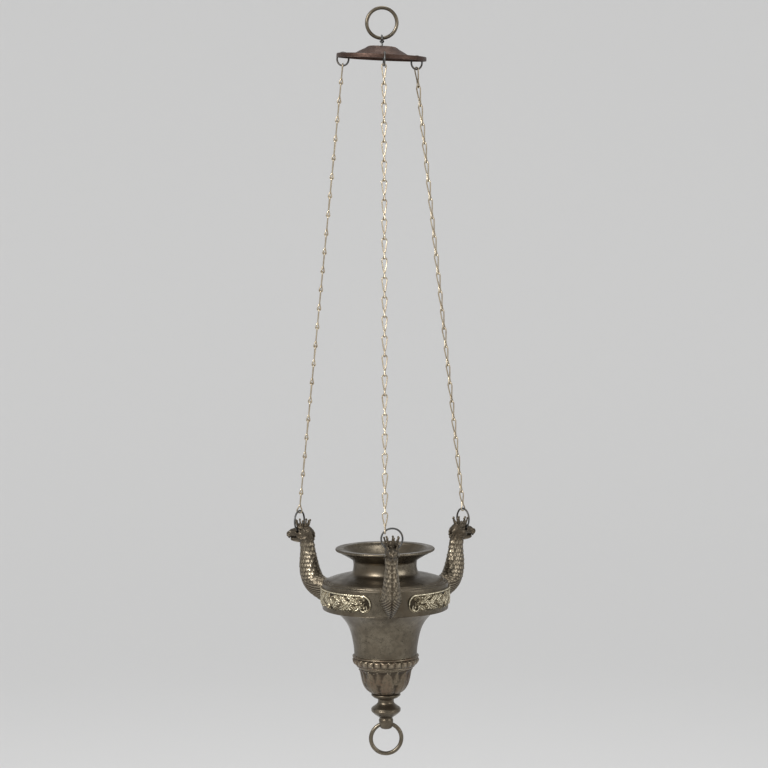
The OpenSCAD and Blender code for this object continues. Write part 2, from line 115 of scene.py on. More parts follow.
camera = bpy.data.objects.new("camera", bpy.data.cameras.new("camera"))
bpy.context.scene.collection.objects.link(camera)
camera.data.sensor_fit = "HORIZONTAL"
camera.data.sensor_width = 36
camera.data.lens = 18 / math.tan(FIELD_OF_VIEW / 2)
camera.location = (
    CAMERA_BACK * math.sin(CAMERA_AZIMUTH),
    -CAMERA_BACK * math.cos(CAMERA_AZIMUTH),
    CAMERA_Z,
)
aim = Vector((0, 0, CAMERA_Z - CAMERA_BACK * math.tan(LOOK_DOWN)))
towards = (aim - camera.location).to_track_quat("-Z", "Y")
camera.rotation_euler = (towards.to_matrix() @ Matrix.Rotation(-CAMERA_ROLL, 3, "Z")).to_euler()
camera.data.clip_end = 50
bpy.context.scene.camera = camera
bpy.context.scene.view_settings.view_transform = "Standard"
print("lens:", round(camera.data.lens, 1), "mm")

# %% [markdown]
# ## Stage and light
#
# The background is a wide pale bowl: a floor that curves up into a wall all round, so there is no
# horizon line from any side. It glows faintly itself, which stands for the many bounces of a
# white studio, and three large soft lamps shape the metal: a key light from the upper left, a
# weaker one from the right, and one overhead.

# %% Build the stage
def spun(line, steps_round, offset=None):
    """Spin a line of (radius, height) round Z. offset(angle, height) may add to the radius.

    Returns points of shape (line, round, 3) and the offset of every point, which fades to
    nothing near the axis.
    """
    angle = np.linspace(0, 2 * np.pi, steps_round, endpoint=False)
    radius = np.repeat(line[:, :1], steps_round, axis=1)
    height = np.repeat(line[:, 1:], steps_round, axis=1)
    around = np.repeat(angle[None, :], len(line), axis=0)
    raised = np.zeros_like(radius) if offset is None else offset(around, height)
    raised = raised * np.clip(radius / 8, 0, 1)
    radius = radius + raised
    points = np.stack([radius * np.cos(around), radius * np.sin(around), height], axis=-1)
    return points, raised


def grid_faces(rows, columns, close_rows=False, close_columns=False):
    """Quads that join a grid of points row by row."""
    last_row = rows if close_rows else rows - 1
    last_column = columns if close_columns else columns - 1
    i, j = np.meshgrid(np.arange(last_row), np.arange(last_column), indexing="ij")
    i, j = i.ravel(), j.ravel()
    down, across = (i + 1) % rows, (j + 1) % columns
    corners = [i * columns + j, i * columns + across, down * columns + across, down * columns + j]
    return np.stack(corners, axis=1)


def outline(corners, steps=7):
    """Corners (x, z, soft) become a line: each corner is rounded from soft before it to soft after."""
    corners = [np.array(c, float) for c in corners]
    points = [corners[0][:2]]
    for before, here, after in zip(corners, corners[1:], corners[2:]):
        back = before[:2] - here[:2]
        on = after[:2] - here[:2]
        start = here[:2] + back * min(0.5, here[2] / np.linalg.norm(back))
        end = here[:2] + on * min(0.5, here[2] / np.linalg.norm(on))
        for t in np.linspace(0, 1, steps if here[2] > 0 else 1):
            points.append((1 - t) ** 2 * start + 2 * t * (1 - t) * here[:2] + t * t * end)
    points.append(corners[-1][:2])
    kept = [points[0]]
    for point in points[1:]:
        if np.linalg.norm(point - kept[-1]) > 1e-4:
            kept.append(point)
    return np.array(kept)


STAGE_FLOOR = -1.45
STAGE_R = 5.5
stage_line = outline(
    [(0, STAGE_FLOOR, 0), (STAGE_R, STAGE_FLOOR, 2.2), (STAGE_R, 3.6, 0)], steps=24
)
stage_points, _ = spun(stage_line, 96)
stage_mesh = bpy.data.meshes.new("studio_bowl")
stage_mesh.from_pydata(
    stage_points.reshape(-1, 3).tolist(),
    [],
    grid_faces(len(stage_line), 96, close_columns=True).tolist(),
)
stage_mesh.polygons.foreach_set("use_smooth", [True] * len(stage_mesh.polygons))
stage = bpy.data.objects.new("studio_bowl", stage_mesh)
bpy.context.scene.collection.objects.link(stage)
paper = bpy.data.materials.new("studio_paper")
paper.use_nodes = True
paper_shader = paper.node_tree.nodes["Principled BSDF"]
paper_shader.inputs["Base Color"].default_value = (0.475, 0.475, 0.473, 1)
paper_shader.inputs["Roughness"].default_value = 0.9
paper_shader.inputs["Specular IOR Level"].default_value = 0.1
paper_shader.inputs["Emission Color"].default_value = (1.0, 1.0, 1.0, 1)
paper_shader.inputs["Emission Strength"].default_value = 0.235
stage_mesh.materials.append(paper)
print("stage points:", len(stage_mesh.vertices))

# %% Hang the studio lamps
def soft_lamp(name, place, size, power):
    """A square area lamp that looks at the lamp's vessel."""
    light = bpy.data.lights.new(name, "AREA")
    light.shape = "SQUARE"
    light.size = size
    light.energy = power
    lamp = bpy.data.objects.new(name, light)
    lamp.location = place
    lamp.rotation_euler = (Vector((0, 0, -0.55)) - lamp.location).to_track_quat("-Z", "Y").to_euler()
    bpy.context.scene.collection.objects.link(lamp)


soft_lamp("key_light", (-1.9, -2.0, 1.1), 1.1, 112)
soft_lamp("fill_light", (2.3, -1.6, 0.2), 1.5, 26)
soft_lamp("top_light", (0.3, 0.5, 2.6), 1.8, 46)
world = bpy.data.worlds.new("studio_world")
world.use_nodes = True
world.node_tree.nodes["Background"].inputs["Color"].default_value = (1.0, 1.0, 1.0, 1)
world.node_tree.nodes["Background"].inputs["Strength"].default_value = 0.4
bpy.context.scene.world = world

# %% [markdown]
# ## Metals
#
# Old bronze is never one colour. It is dark brown where grease and dust stay in the hollows,
# grey-brown on the open faces, and pale where hands and cloths have polished the high spots. Here
# the dark of the hollows and creases is also painted shade, and the pale of the high spots is also
# painted highlight. One recipe covers every metal here: three colours, mixed by how high a point
# stands in the relief (a value stored on the mesh), by how sharp the edge is there, and by cloudy
# noise. Small pits and a fine grain go into the bump and the roughness, so the surface never looks
# like plastic.

# %% A recipe for aged metal
def node_maker(material):
    """A short way to add a node and set its inputs by name."""
    tree = material.node_tree

    def add(kind, links=None, **values):
        node = tree.nodes.new(kind)
        for name, value in values.items():
            if hasattr(node, name):
                setattr(node, name, value)
            else:
                node.inputs[name.replace("_", " ")].default_value = value
        for name, socket in (links or {}).items():
            tree.links.new(socket, node.inputs[name])
        return node

    return add


def ramp(add, socket, low, high, to_low=0.0, to_high=1.0):
    """Map a value from low..high to to_low..to_high, held at the ends."""
    node = add("ShaderNodeMapRange", {"Value": socket})
    node.interpolation_type = "SMOOTHSTEP"
    for name, value in zip(("From Min", "From Max", "To Min", "To Max"), (low, high, to_low, to_high)):
        node.inputs[name].default_value = value
    return node.outputs["Result"]


def mixed(add, factor, a, b, mode="MIX"):
    """Mix two colours; a and b are sockets or colours."""
    node = add("ShaderNodeMix")
    node.data_type = "RGBA"
    node.blend_type = mode
    for index, value in ((6, a), (7, b)):
        if isinstance(value, bpy.types.NodeSocket):
            node.id_data.links.new(value, node.inputs[index])
        else:
            node.inputs[index].default_value = (*value, 1)
    if isinstance(factor, bpy.types.NodeSocket):
        node.id_data.links.new(factor, node.inputs[0])
    else:
        node.inputs[0].default_value = factor
    return node.outputs[2]


def calculated(add, kind, a, b):
    """One arithmetic node; a and b are sockets or numbers."""
    node = add("ShaderNodeMath", operation=kind)
    for index, value in enumerate((a, b)):
        if isinstance(value, bpy.types.NodeSocket):
            node.id_data.links.new(value, node.inputs[index])
        else:
            node.inputs[index].default_value = value
    return node.outputs[0]


def aged_metal(name, dark, open_face, worn_and_highlight_colour, roughness=0.42, wear=0.6, relief_wear_and_highlight=0.0,
               hollow_dirt_and_shade=0.5, cloud=30, grain=900, bump=0.25, metallic=0.9, warm=(0.13, 0.085, 0.05)):
    """Make one aged metal from its dark colour (pits, dirt and painted shade), its open colour and its pale
    colour (wear and painted highlight).
    """
    material = bpy.data.materials.new(name)
    material.use_nodes = True
    add = node_maker(material)
    shader = material.node_tree.nodes["Principled BSDF"]
    place = add("ShaderNodeTexCoord").outputs["Object"]
    clouds = add("ShaderNodeTexNoise", {"Vector": place}, Scale=cloud, Detail=6, Roughness=0.62)
    streaks = add("ShaderNodeTexNoise", {"Vector": place}, Scale=cloud * 6, Detail=5, Roughness=0.7)
    grains = add("ShaderNodeTexNoise", {"Vector": place}, Scale=grain, Detail=3, Roughness=0.65)
    pits = add("ShaderNodeTexVoronoi", {"Vector": place}, Scale=grain * 0.28, Randomness=1)
    edge = add("ShaderNodeNewGeometry").outputs["Pointiness"]
    relief = add("ShaderNodeAttribute", attribute_name="relief").outputs["Fac"]

    # open faces, with clouds of a warmer and a darker patina
    face = mixed(add, ramp(add, clouds.outputs["Fac"], 0.38, 0.66), open_face, warm)
    darker = tuple(0.55 * o + 0.45 * d for o, d in zip(open_face, dark))
    face = mixed(add, ramp(add, streaks.outputs["Fac"], 0.42, 0.64, 0, 0.9), face, darker)
    # small dark pits, only where the clouds are thick
    pit = calculated(add, "MULTIPLY", ramp(add, pits.outputs["Distance"], 0.24, 0.10),
                     ramp(add, streaks.outputs["Fac"], 0.46, 0.60))
    face = mixed(add, calculated(add, "MULTIPLY", pit, 0.85), face, dark)
    # dirt and painted shade in the hollows, where the relief value is low, and painted shade in concave
    # creases and joints
    low = calculated(add, "MULTIPLY", ramp(add, relief, 0.5, 0.06), hollow_dirt_and_shade)
    crease_shade = ramp(add, edge, 0.49, 0.44, 0, 0.8)
    face = mixed(add, calculated(add, "MAXIMUM", low, crease_shade), face, dark)
    # wear with painted highlight on the high spots, and wear on sharp edges, broken up by the grain
    high = calculated(add, "MULTIPLY", ramp(add, relief, 0.62, 0.95), relief_wear_and_highlight)
    sharp = calculated(add, "MULTIPLY", ramp(add, edge, 0.515, 0.60), wear)
    wear_and_highlight = calculated(add, "MULTIPLY", calculated(add, "MAXIMUM", high, sharp),
                        ramp(add, streaks.outputs["Fac"], 0.34, 0.58, 0.25, 1.0))
    face = mixed(add, wear_and_highlight, face, worn_and_highlight_colour)
    material.node_tree.links.new(face, shader.inputs["Base Color"])

    shine = ramp(add, clouds.outputs["Fac"], 0.3, 0.7, roughness - 0.07, roughness + 0.10)
    shine = calculated(add, "ADD", shine, ramp(add, grains.outputs["Fac"], 0.3, 0.7, -0.04, 0.06))
    shine = calculated(add, "SUBTRACT", shine, calculated(add, "MULTIPLY", wear_and_highlight, 0.12))
    material.node_tree.links.new(shine, shader.inputs["Roughness"])
    shader.inputs["Metallic"].default_value = metallic

    rough = calculated(add, "ADD", calculated(add, "MULTIPLY", grains.outputs["Fac"], 0.35),
                       calculated(add, "MULTIPLY", streaks.outputs["Fac"], 0.5))
    rough = calculated(add, "SUBTRACT", rough, calculated(add, "MULTIPLY", pit, 0.8))
    bumps = add("ShaderNodeBump", {"Height": rough}, Strength=bump, Distance=0.0006)
    material.node_tree.links.new(bumps.outputs["Normal"], shader.inputs["Normal"])
    return material


# %% [markdown]
# The lamp needs eight finishes: the vessel's satin bronze, the darker bronze of the cast birds,
# the rubbed bronze of the relief, whose pale high spots are also painted highlight, the warmer
# bronze of the beads and leaves, the reddish canopy, blackened iron wire, dull brass for the
# chains, and clear glass.

# %% Make the finishes
satin_bronze = aged_metal("satin_bronze", dark=(0.030, 0.024, 0.017), open_face=(0.148, 0.126, 0.093),
                          worn_and_highlight_colour=(0.60, 0.53, 0.40), roughness=0.31, wear=0.75,
                          warm=(0.088, 0.069, 0.047), bump=0.2)
cast_bronze = aged_metal("cast_bronze", dark=(0.018, 0.014, 0.010), open_face=(0.095, 0.079, 0.058),
                         worn_and_highlight_colour=(0.48, 0.41, 0.30), roughness=0.40, wear=0.5, relief_wear_and_highlight=0.55,
                         hollow_dirt_and_shade=0.85, cloud=60, warm=(0.075, 0.057, 0.038), bump=0.35)
# the relief's dark ground and pale tops are strongest here: dirt and painted shade below, wear and painted
# highlight on top
rubbed_and_highlit_bronze = aged_metal("rubbed_and_highlit_bronze", dark=(0.016, 0.012, 0.007), open_face=(0.20, 0.165, 0.11),
                           worn_and_highlight_colour=(0.86, 0.78, 0.58), roughness=0.33, wear=0.5, relief_wear_and_highlight=1.0,
                           hollow_dirt_and_shade=1.0, cloud=80, warm=(0.16, 0.125, 0.07), bump=0.3)
moulded_bronze = aged_metal("moulded_bronze", dark=(0.026, 0.020, 0.014), open_face=(0.165, 0.135, 0.096),
                            worn_and_highlight_colour=(0.66, 0.57, 0.42), roughness=0.36, wear=0.8, relief_wear_and_highlight=0.45,
                            hollow_dirt_and_shade=0.75, cloud=50, warm=(0.135, 0.092, 0.062), bump=0.2)
red_bronze = aged_metal("red_bronze", dark=(0.020, 0.013, 0.010), open_face=(0.085, 0.052, 0.039),
                        worn_and_highlight_colour=(0.40, 0.27, 0.20), roughness=0.48, wear=0.55, relief_wear_and_highlight=0.3,
                        cloud=70, warm=(0.075, 0.048, 0.038), bump=0.3)
dark_iron = aged_metal("dark_iron", dark=(0.018, 0.018, 0.018), open_face=(0.085, 0.088, 0.088),
                       worn_and_highlight_colour=(0.32, 0.31, 0.29), roughness=0.45, wear=0.5, cloud=120,
                       warm=(0.075, 0.060, 0.046), bump=0.3)
dull_brass = aged_metal("dull_brass", dark=(0.075, 0.055, 0.035), open_face=(0.42, 0.35, 0.25),
                        worn_and_highlight_colour=(0.82, 0.74, 0.58), roughness=0.34, wear=0.7, cloud=55,
                        warm=(0.21, 0.155, 0.10), bump=0.2)


def clear_glass_finish():
    """Thin blown glass, with a faint cloudiness from old oil in patches."""
    material = bpy.data.materials.new("clear_glass")
    material.use_nodes = True
    add = node_maker(material)
    shader = material.node_tree.nodes["Principled BSDF"]
    place = add("ShaderNodeTexCoord").outputs["Object"]
    film = add("ShaderNodeTexNoise", {"Vector": place}, Scale=60, Detail=4)
    cloudy = ramp(add, film.outputs["Fac"], 0.4, 0.7, 0, 0.5)
    tint = mixed(add, cloudy, (0.93, 0.96, 0.95), (0.80, 0.78, 0.68))
    material.node_tree.links.new(tint, shader.inputs["Base Color"])
    haze = ramp(add, film.outputs["Fac"], 0.4, 0.7, 0.03, 0.14)
    material.node_tree.links.new(haze, shader.inputs["Roughness"])
    shader.inputs["Transmission Weight"].default_value = 0.95
    shader.inputs["IOR"].default_value = 1.47
    return material


clear_glass = clear_glass_finish()
print("finishes:", len(bpy.data.materials))

# %% [markdown]
# ## From points to a piece
#
# Every piece is a grid of points turned into a mesh. One helper does the common work: it welds
# points that lie together, turns the faces outward, shades the smooth parts smoothly, stores the
# relief value, hangs the piece on the body that it rides on and hides the CAD node that it replaces.

# %% A helper that finishes a piece
def finished_piece(name, points, faces, material, body, node, relief=None, sharp=32):
    """Turn points in millimetres and faces into a piece that replaces a CAD node."""
    mesh = bpy.data.meshes.new(name)
    points = np.asarray(points, float).reshape(-1, 3) * MM
    mesh.from_pydata(points.tolist(), [], faces.tolist() if isinstance(faces, np.ndarray) else faces)
    raised = np.full(len(points), 0.5) if relief is None else np.asarray(relief, float).ravel()
    layer = mesh.attributes.new("relief", "FLOAT", "POINT")
    layer.data.foreach_set("value", raised.astype(np.float32))
    work = bmesh.new()
    work.from_mesh(mesh)
    bmesh.ops.remove_doubles(work, verts=work.verts, dist=2e-6)
    bmesh.ops.delete(work, geom=[e for e in work.edges if not e.link_faces], context="EDGES")
    bmesh.ops.delete(work, geom=[v for v in work.verts if not v.link_faces], context="VERTS")
    bmesh.ops.recalc_face_normals(work, faces=work.faces)
    work.to_mesh(mesh)
    work.free()
    mesh.polygons.foreach_set("use_smooth", [True] * len(mesh.polygons))
    mesh.set_sharp_from_angle(angle=math.radians(sharp))
    mesh.materials.append(material)
    piece = bpy.data.objects.new(name, mesh)
    bpy.context.scene.collection.objects.link(piece)
    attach(piece, body)
    if node:
        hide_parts(node)
    print(f"{name}: {len(mesh.vertices)} points on {body}")
    return piece


def finer(line, longest, flat=15):
    """Add points so that no step is longer than longest, but leave the long flats of end faces."""
    points = [line[0]]
    for a, b in zip(line, line[1:]):
        size = np.linalg.norm(b - a)
        count = 1 if size > flat else max(1, math.ceil(size / longest))
        points += [a + (b - a) * k / count for k in range(1, count + 1)]
    return np.array(points)


def spun_piece(name, line, longest, around, material, body, node, offset=None, relief=None):
    """Spin an outline into a piece. relief(points, raised) gives the relief value of each point."""
    points, raised = spun(finer(line, longest), around, offset)
    return finished_piece(name, points, grid_faces(len(points), around, close_columns=True),
                          material, body, node, relief=relief and relief(points, raised))


def cut(piece, cutters):
    """Cut closed shapes out of a piece, and delete them."""
    for cutter in cutters:
        change = piece.modifiers.new("cut", "BOOLEAN")
        change.operation = "DIFFERENCE"
        change.solver = "EXACT"
        change.object = cutter
    graph = bpy.context.evaluated_depsgraph_get()
    old = piece.data
    piece.data = bpy.data.meshes.new_from_object(piece.evaluated_get(graph))
    piece.modifiers.clear()
    for cutter in cutters:
        bpy.data.objects.remove(cutter)
    bpy.data.meshes.remove(old)


def object_from(work, name):
    """An object made from a bmesh, which is then freed."""
    mesh = bpy.data.meshes.new(name)
    work.to_mesh(mesh)
    work.free()
    made = bpy.data.objects.new(name, mesh)
    bpy.context.scene.collection.objects.link(made)
    return made


def cutter_rod(start, end, radius):
    """A closed round rod between two points in millimetres, for cutting a hole."""
    start, end = Vector(start) * MM, Vector(end) * MM
    work = bmesh.new()
    turn = (end - start).to_track_quat("Z", "Y").to_matrix().to_4x4()
    bmesh.ops.create_cone(work, cap_ends=True, segments=40, radius1=radius * MM, radius2=radius * MM,
                          depth=(end - start).length, matrix=Matrix.Translation((start + end) / 2) @ turn)
    return object_from(work, "rod")


# %% [markdown]
# ## Wire
#
# Rings, the eye and the chain links are all bent wire: a small circle carried along a path. The
# circle must not twist as it goes, so each step turns it only as much as the path turns. Where a
# path closes on itself, the leftover twist is shared out along the whole length.

# %% Sweep a wire along a path
def wire(path, radius, sides=12, closed=True):
    """Points and faces of round wire along a path. radius is one value or one for each point."""
    path = np.asarray(path, float)
    count = len(path)
    radius = np.broadcast_to(radius, count)
    if closed:
        ahead = np.roll(path, -1, axis=0) - np.roll(path, 1, axis=0)
    else:
        ahead = np.gradient(path, axis=0)
    ahead /= np.linalg.norm(ahead, axis=1, keepdims=True)
    side = np.cross(ahead[0], (0.31, 0.87, 0.38))
    side /= np.linalg.norm(side)
    frames = []
    for direction in ahead:
        side = side - direction * np.dot(side, direction)
        side /= np.linalg.norm(side)
        frames.append(side)
    twist = 0.0
    if closed:
        back = frames[-1] - ahead[0] * np.dot(frames[-1], ahead[0])
        twist = math.atan2(np.dot(np.cross(back, frames[0]), ahead[0]), np.dot(back, frames[0]))
    around = np.linspace(0, 2 * np.pi, sides, endpoint=False)
    points = []
    for i in range(count):
        angle = around + twist * i / count
        other = np.cross(ahead[i], frames[i])
        ring = np.outer(np.cos(angle), frames[i]) + np.outer(np.sin(angle), other)
        points.append(path[i] + ring * radius[i])
    faces = grid_faces(count, sides, close_rows=closed, close_columns=True).tolist()
    if not closed:
        faces += [list(range(sides)), list(range((count - 1) * sides, count * sides))]
    return np.concatenate(points), faces


def circle_path(centre, radius, across, up, steps=96):
    """A circle through centre +- radius, in the plane of two directions."""
    t = np.linspace(0, 2 * np.pi, steps, endpoint=False)[:, None]
    return np.asarray(centre) + radius * (np.cos(t) * np.asarray(across) + np.sin(t) * np.asarray(up))


def wavy(path, amount, waves, seed):
    """Old wire is never quite true: move a path by a few slow waves."""
    t = np.linspace(0, 2 * np.pi, len(path), endpoint=False)
    shift = np.stack([np.sin(waves * t + seed + k * 2.1) for k in range(3)], axis=1)
    return path + amount * shift


# %% Top ring and pull ring
def upright_ring(name, node, body, material, uneven):
    """A ring of round wire that stands across the lamp, sized by its CAD box."""
    low, high = low_mm(node), high_mm(node)
    thick = high[1] - low[1]
    radius = (high[0] - low[0] - thick) / 2
    path = wavy(circle_path((low + high) / 2, radius, (1, 0, 0), (0, 0, 1), 144), uneven, 3, 0.4)
    swell = 1 + 0.02 * np.sin(np.linspace(0, 10 * np.pi, len(path), endpoint=False))
    points, faces = wire(path, thick / 2 * swell, sides=20)
    return finished_piece(name, points, faces, material, body, node)


upright_ring("hanging_ring", "top_ring", "hanger", satin_bronze, 0.12)
upright_ring("pull_ring_wire", "pull_ring", "pull_ring", satin_bronze, 0.08)

# %% [markdown]
# The eye that carries the canopy is a length of iron wire bent round the ring, with its two ends
# twisted together below the loop and passed through the canopy's middle.

# %% Wire eye
eye_low, eye_high = low_mm("canopy_eye"), high_mm("canopy_eye")
eye_wire_r = (eye_high[0] - eye_low[0]) / 4.4
eye_half = (eye_high[1] - eye_low[1]) / 2 - eye_wire_r
canopy_apex_z = [j for j in frame["joints"] if j["name"] == "canopy_turn"][0]["pos_m"][2] / MM


def eye_path():
    """Up one side, over the ring, down the other side, and a twist of one turn to the shank."""
    turn = np.linspace(0, np.pi, 25)
    top = eye_high[2] - eye_wire_r - eye_half
    over = np.stack([0 * turn, eye_half * np.cos(turn), top + eye_half * np.sin(turn)], axis=1)
    low = canopy_apex_z + 4.6
    legs = []
    for sign in (1, -1):
        t = np.linspace(0, 1, 26)[1:]
        width = eye_half + (0.82 * eye_wire_r - eye_half) * (3 * t**2 - 2 * t**3)
        angle = np.pi / 2 * sign + np.pi * 0.9 * np.clip(t * 1.6 - 0.6, 0, 1)
        legs.append(np.stack([width * np.cos(angle), width * np.sin(angle), top + (low - top) * t], axis=1))
    return np.concatenate([legs[0][::-1], over, legs[1]])


loop_points, loop_faces = wire(eye_path(), eye_wire_r, sides=14, closed=False)
shank_line = outline([(0, canopy_apex_z + 5.2, 0), (eye_wire_r * 1.1, canopy_apex_z + 5.2, 0.4),
                      (eye_wire_r * 1.25, canopy_apex_z + 1.4, 0.5),
                      (eye_wire_r * 2.1, canopy_apex_z + 0.5, 0.4),
                      (eye_wire_r * 2.1, canopy_apex_z + 0.15, 0.1), (eye_wire_r, canopy_apex_z + 0.1, 0.1),
                      (eye_wire_r, eye_low[2] + 1.3, 0), (eye_wire_r * 2.1, eye_low[2] + 0.3, 0.2),
                      (eye_wire_r * 1.7, eye_low[2], 0.2), (0, eye_low[2], 0)])
shank_points, _ = spun(shank_line, 28)
shank_faces = grid_faces(len(shank_line), 28, close_columns=True) + len(loop_points)
finished_piece("wire_eye", np.concatenate([loop_points, shank_points.reshape(-1, 3)]),
               loop_faces + shank_faces.tolist(), dark_iron, "eye", "canopy_eye")

# %% [markdown]
# ## Canopy
#
# The canopy is spun like a saucer: a low dome, a flat margin and a lip turned down. It hangs a
# little out of level. A few cast leaves lie round the place where the eye comes through, and
# three slots near the margin take the rings of the chains.

# %% Spin the canopy
CANOPY_ROLL = math.radians(2.9)
CANOPY_PITCH = math.radians(2.6)
canopy_lean = Matrix.Rotation(CANOPY_ROLL, 3, "Y") @ Matrix.Rotation(CANOPY_PITCH, 3, "X")
canopy_r = 53.6
dome_r = 39.0
dome_h = 9.5
lip_h = 5.0
metal_t = 1.8
RING_R = 7.8
RING_WIRE = 2.2
ring_mid_r = 51.31
ring_drop = 6.2


def leaned(points):
    """Points drawn about the canopy's apex, put where the canopy hangs."""
    turn = np.array(canopy_lean)
    return np.asarray(points).reshape(-1, 3) @ turn.T + np.array((0, 0, canopy_apex_z))


def canopy_leaves(angle, radius):
    """Height of the cast leaves round the apex, as a share of their full height."""
    count = 7
    lobe = np.abs(np.cos(angle * count / 2 + 0.6)) ** 0.7
    reach = 13 + 7.5 * lobe
    share = np.clip((reach - radius) / 5.0, 0, 1)
    ribs = 0.72 + 0.28 * np.cos(angle * count * 4) * np.clip(radius / 18, 0, 1)
    return share**0.6 * ribs * np.clip(radius / 3.4 - 0.8, 0, 1)


canopy_line = finer(outline([(1.3, 0, 0), (dome_r * 0.42, -0.2, 9), (dome_r * 0.68, -dome_h * 0.56, 9),
                             (dome_r * 0.86, -dome_h, 7), (canopy_r - 0.5, -dome_h, 0.9),
                             (canopy_r, -dome_h - 1.2, 0.8), (canopy_r, -dome_h - lip_h, 0.4),
                             (canopy_r - metal_t, -dome_h - lip_h, 0.4),
                             (canopy_r - metal_t, -dome_h - metal_t, 0.8),
                             (dome_r * 0.84, -dome_h - metal_t, 7),
                             (dome_r * 0.66, -dome_h * 0.56 - metal_t, 9),
                             (dome_r * 0.40, -metal_t - 0.2, 9), (1.3, -metal_t, 0)]), 0.8)
canopy_points, _ = spun(canopy_line, 180)
on_top = np.arange(len(canopy_line)) < np.argmax(canopy_line[:, 0] >= canopy_r - 0.6)
round_apex = np.arctan2(canopy_points[..., 1], canopy_points[..., 0])
from_apex = np.hypot(canopy_points[..., 1], canopy_points[..., 0])
leaf_share = np.where(on_top[:, None], canopy_leaves(round_apex, from_apex), 0)
canopy_points[..., 2] += 1.5 * leaf_share
# the relief value is higher on the cast leaves, which take wear and painted highlight
canopy = finished_piece("canopy_dish", leaned(canopy_points),
                        grid_faces(len(canopy_line), 180, close_rows=True, close_columns=True),
                        red_bronze, "canopy", "canopy", relief=0.45 + 0.5 * leaf_share)


def slot_cutter(angle):
    """A box through the margin, where a ring passes."""
    inner, outer, half = ring_mid_r - 8.1, ring_mid_r - 2.6, RING_WIRE / 2 + 0.45
    work = bmesh.new()
    bmesh.ops.create_cube(work, size=1, matrix=Matrix.Translation(((inner + outer) / 2, 0, -dome_h - 1))
                          @ Matrix.Diagonal((outer - inner, 2 * half, 6, 1)))
    bmesh.ops.bevel(work, geom=[e for e in work.edges if abs((e.verts[0].co - e.verts[1].co).z) > 1],
                    offset=half * 0.8, segments=5, affect="EDGES", profile=0.5)
    place = Matrix.Rotation(math.radians(angle), 4, "Z")
    bmesh.ops.transform(work, matrix=place, verts=work.verts)
    for vertex in work.verts:
        vertex.co = Vector(leaned([vertex.co])[0]) * MM
    return object_from(work, "slot")


cut(canopy, [slot_cutter(angle) for angle in SIDES.values()])
canopy.data.set_sharp_from_angle(angle=math.radians(32))

# %% Rings on the canopy
for side, angle in SIDES.items():
    out = np.array((math.cos(math.radians(angle)), math.sin(math.radians(angle)), 0))
    ring = circle_path(out * ring_mid_r + (0, 0, -dome_h - ring_drop), RING_R, out, (0, 0, 1))
    ring_points, ring_faces = wire(leaned(wavy(ring, 0.05, 2, angle)), RING_WIRE / 2, sides=14)
    finished_piece(f"canopy_ring_wire_{side}", ring_points, ring_faces, dark_iron, "canopy",
                   f"canopy_ring_{side}")

# %% [markdown]
# ## Chains
#
# Each link is one length of brass wire: a long loop with its round end up, whose two sides come
# together, twist a quarter turn and open again into a small eye for the next link. The CAD chain
# hangs in a straight line, so the links are placed by a loop between its two hooks, and the front
# chain turns slowly from top to bottom as a hanging chain does.

# %% Bend one link
LINK_WIRE = 1.65
LINK_W = 7.6
EYE_W = 5.7
LAST_EYE_W = 8.2
LINK_PITCH = 22.4
SEAT = 0.05
HOOK_GAP = 0.45


def link_path(length, eye_w):
    """The wire's path in one link, from its top at 0 down to the eye's low wire at -length."""
    half = (LINK_W - LINK_WIRE) / 2
    eye_half = (eye_w - LINK_WIRE) / 2
    touch = LINK_WIRE * 0.5
    eye_top = -length + eye_w * 1.02
    waist = eye_top + 1.2
    turn = np.linspace(np.pi, 0, 17)
    over = [(half * np.cos(a), 0, half * (np.sin(a) - 1)) for a in turn]
    corners = [(half * 0.92, 0, -half * 1.8), (half * 0.55, 0, (waist - half) * 0.62),
               (touch, 0, waist + 1.0), (touch * 0.74, touch * 0.74, waist - 0.2),
               (0, touch * 1.05, eye_top - 0.5), (0, eye_half * 0.82, -length + eye_half * 1.35),
               (0, eye_half, -length + eye_half * 0.62), (0, eye_half * 0.72, -length + 0.08),
               (0, 0, -length)]
    right = over + corners
    left = [(-x, -y, z) for x, y, z in corners[-2::-1]]
    control = np.array(right + left, float)
    ends = (control + np.roll(control, -1, axis=0)) / 2
    starts = np.roll(ends, 1, axis=0)
    path = []
    for start, corner, end in zip(starts, control, ends):
        for t in (0, 0.34, 0.67):
            path.append((1 - t) ** 2 * start + 2 * t * (1 - t) * corner + t * t * end)
    return np.array(path)


# %% Hang the three chains
def chain_ends(side):
    """The wires that a chain hooks on: under the canopy ring, and on the head ring."""
    joint = [j for j in frame["joints"] if j["name"] == f"chain_{side}_lean"][0]
    top = np.array(joint["pos_m"]) / MM
    angle = math.radians(SIDES[side])
    ring_middle = middle_mm(f"head_ring_{side}")
    turn = HOOK_TURN[side]
    across = np.array((math.sin(angle), -math.cos(angle), 0))
    return top, ring_middle + HEAD_RING_R * (math.sin(turn) * across + np.array((0, 0, math.cos(turn))))


HEAD_RING_D = high_mm("head_ring_front")[2] - low_mm("head_ring_front")[2]
HEAD_RING_WIRE = high_mm("head_ring_front")[1] - low_mm("head_ring_front")[1]
HEAD_RING_R = (HEAD_RING_D - HEAD_RING_WIRE) / 2
HOOK_TURN = {"front": math.radians(40), "right": 0.0, "left": 0.0}
ROLL = {"front": (30, 0), "right": (14, 14), "left": (24, 24)}
shake = np.random.default_rng(7)

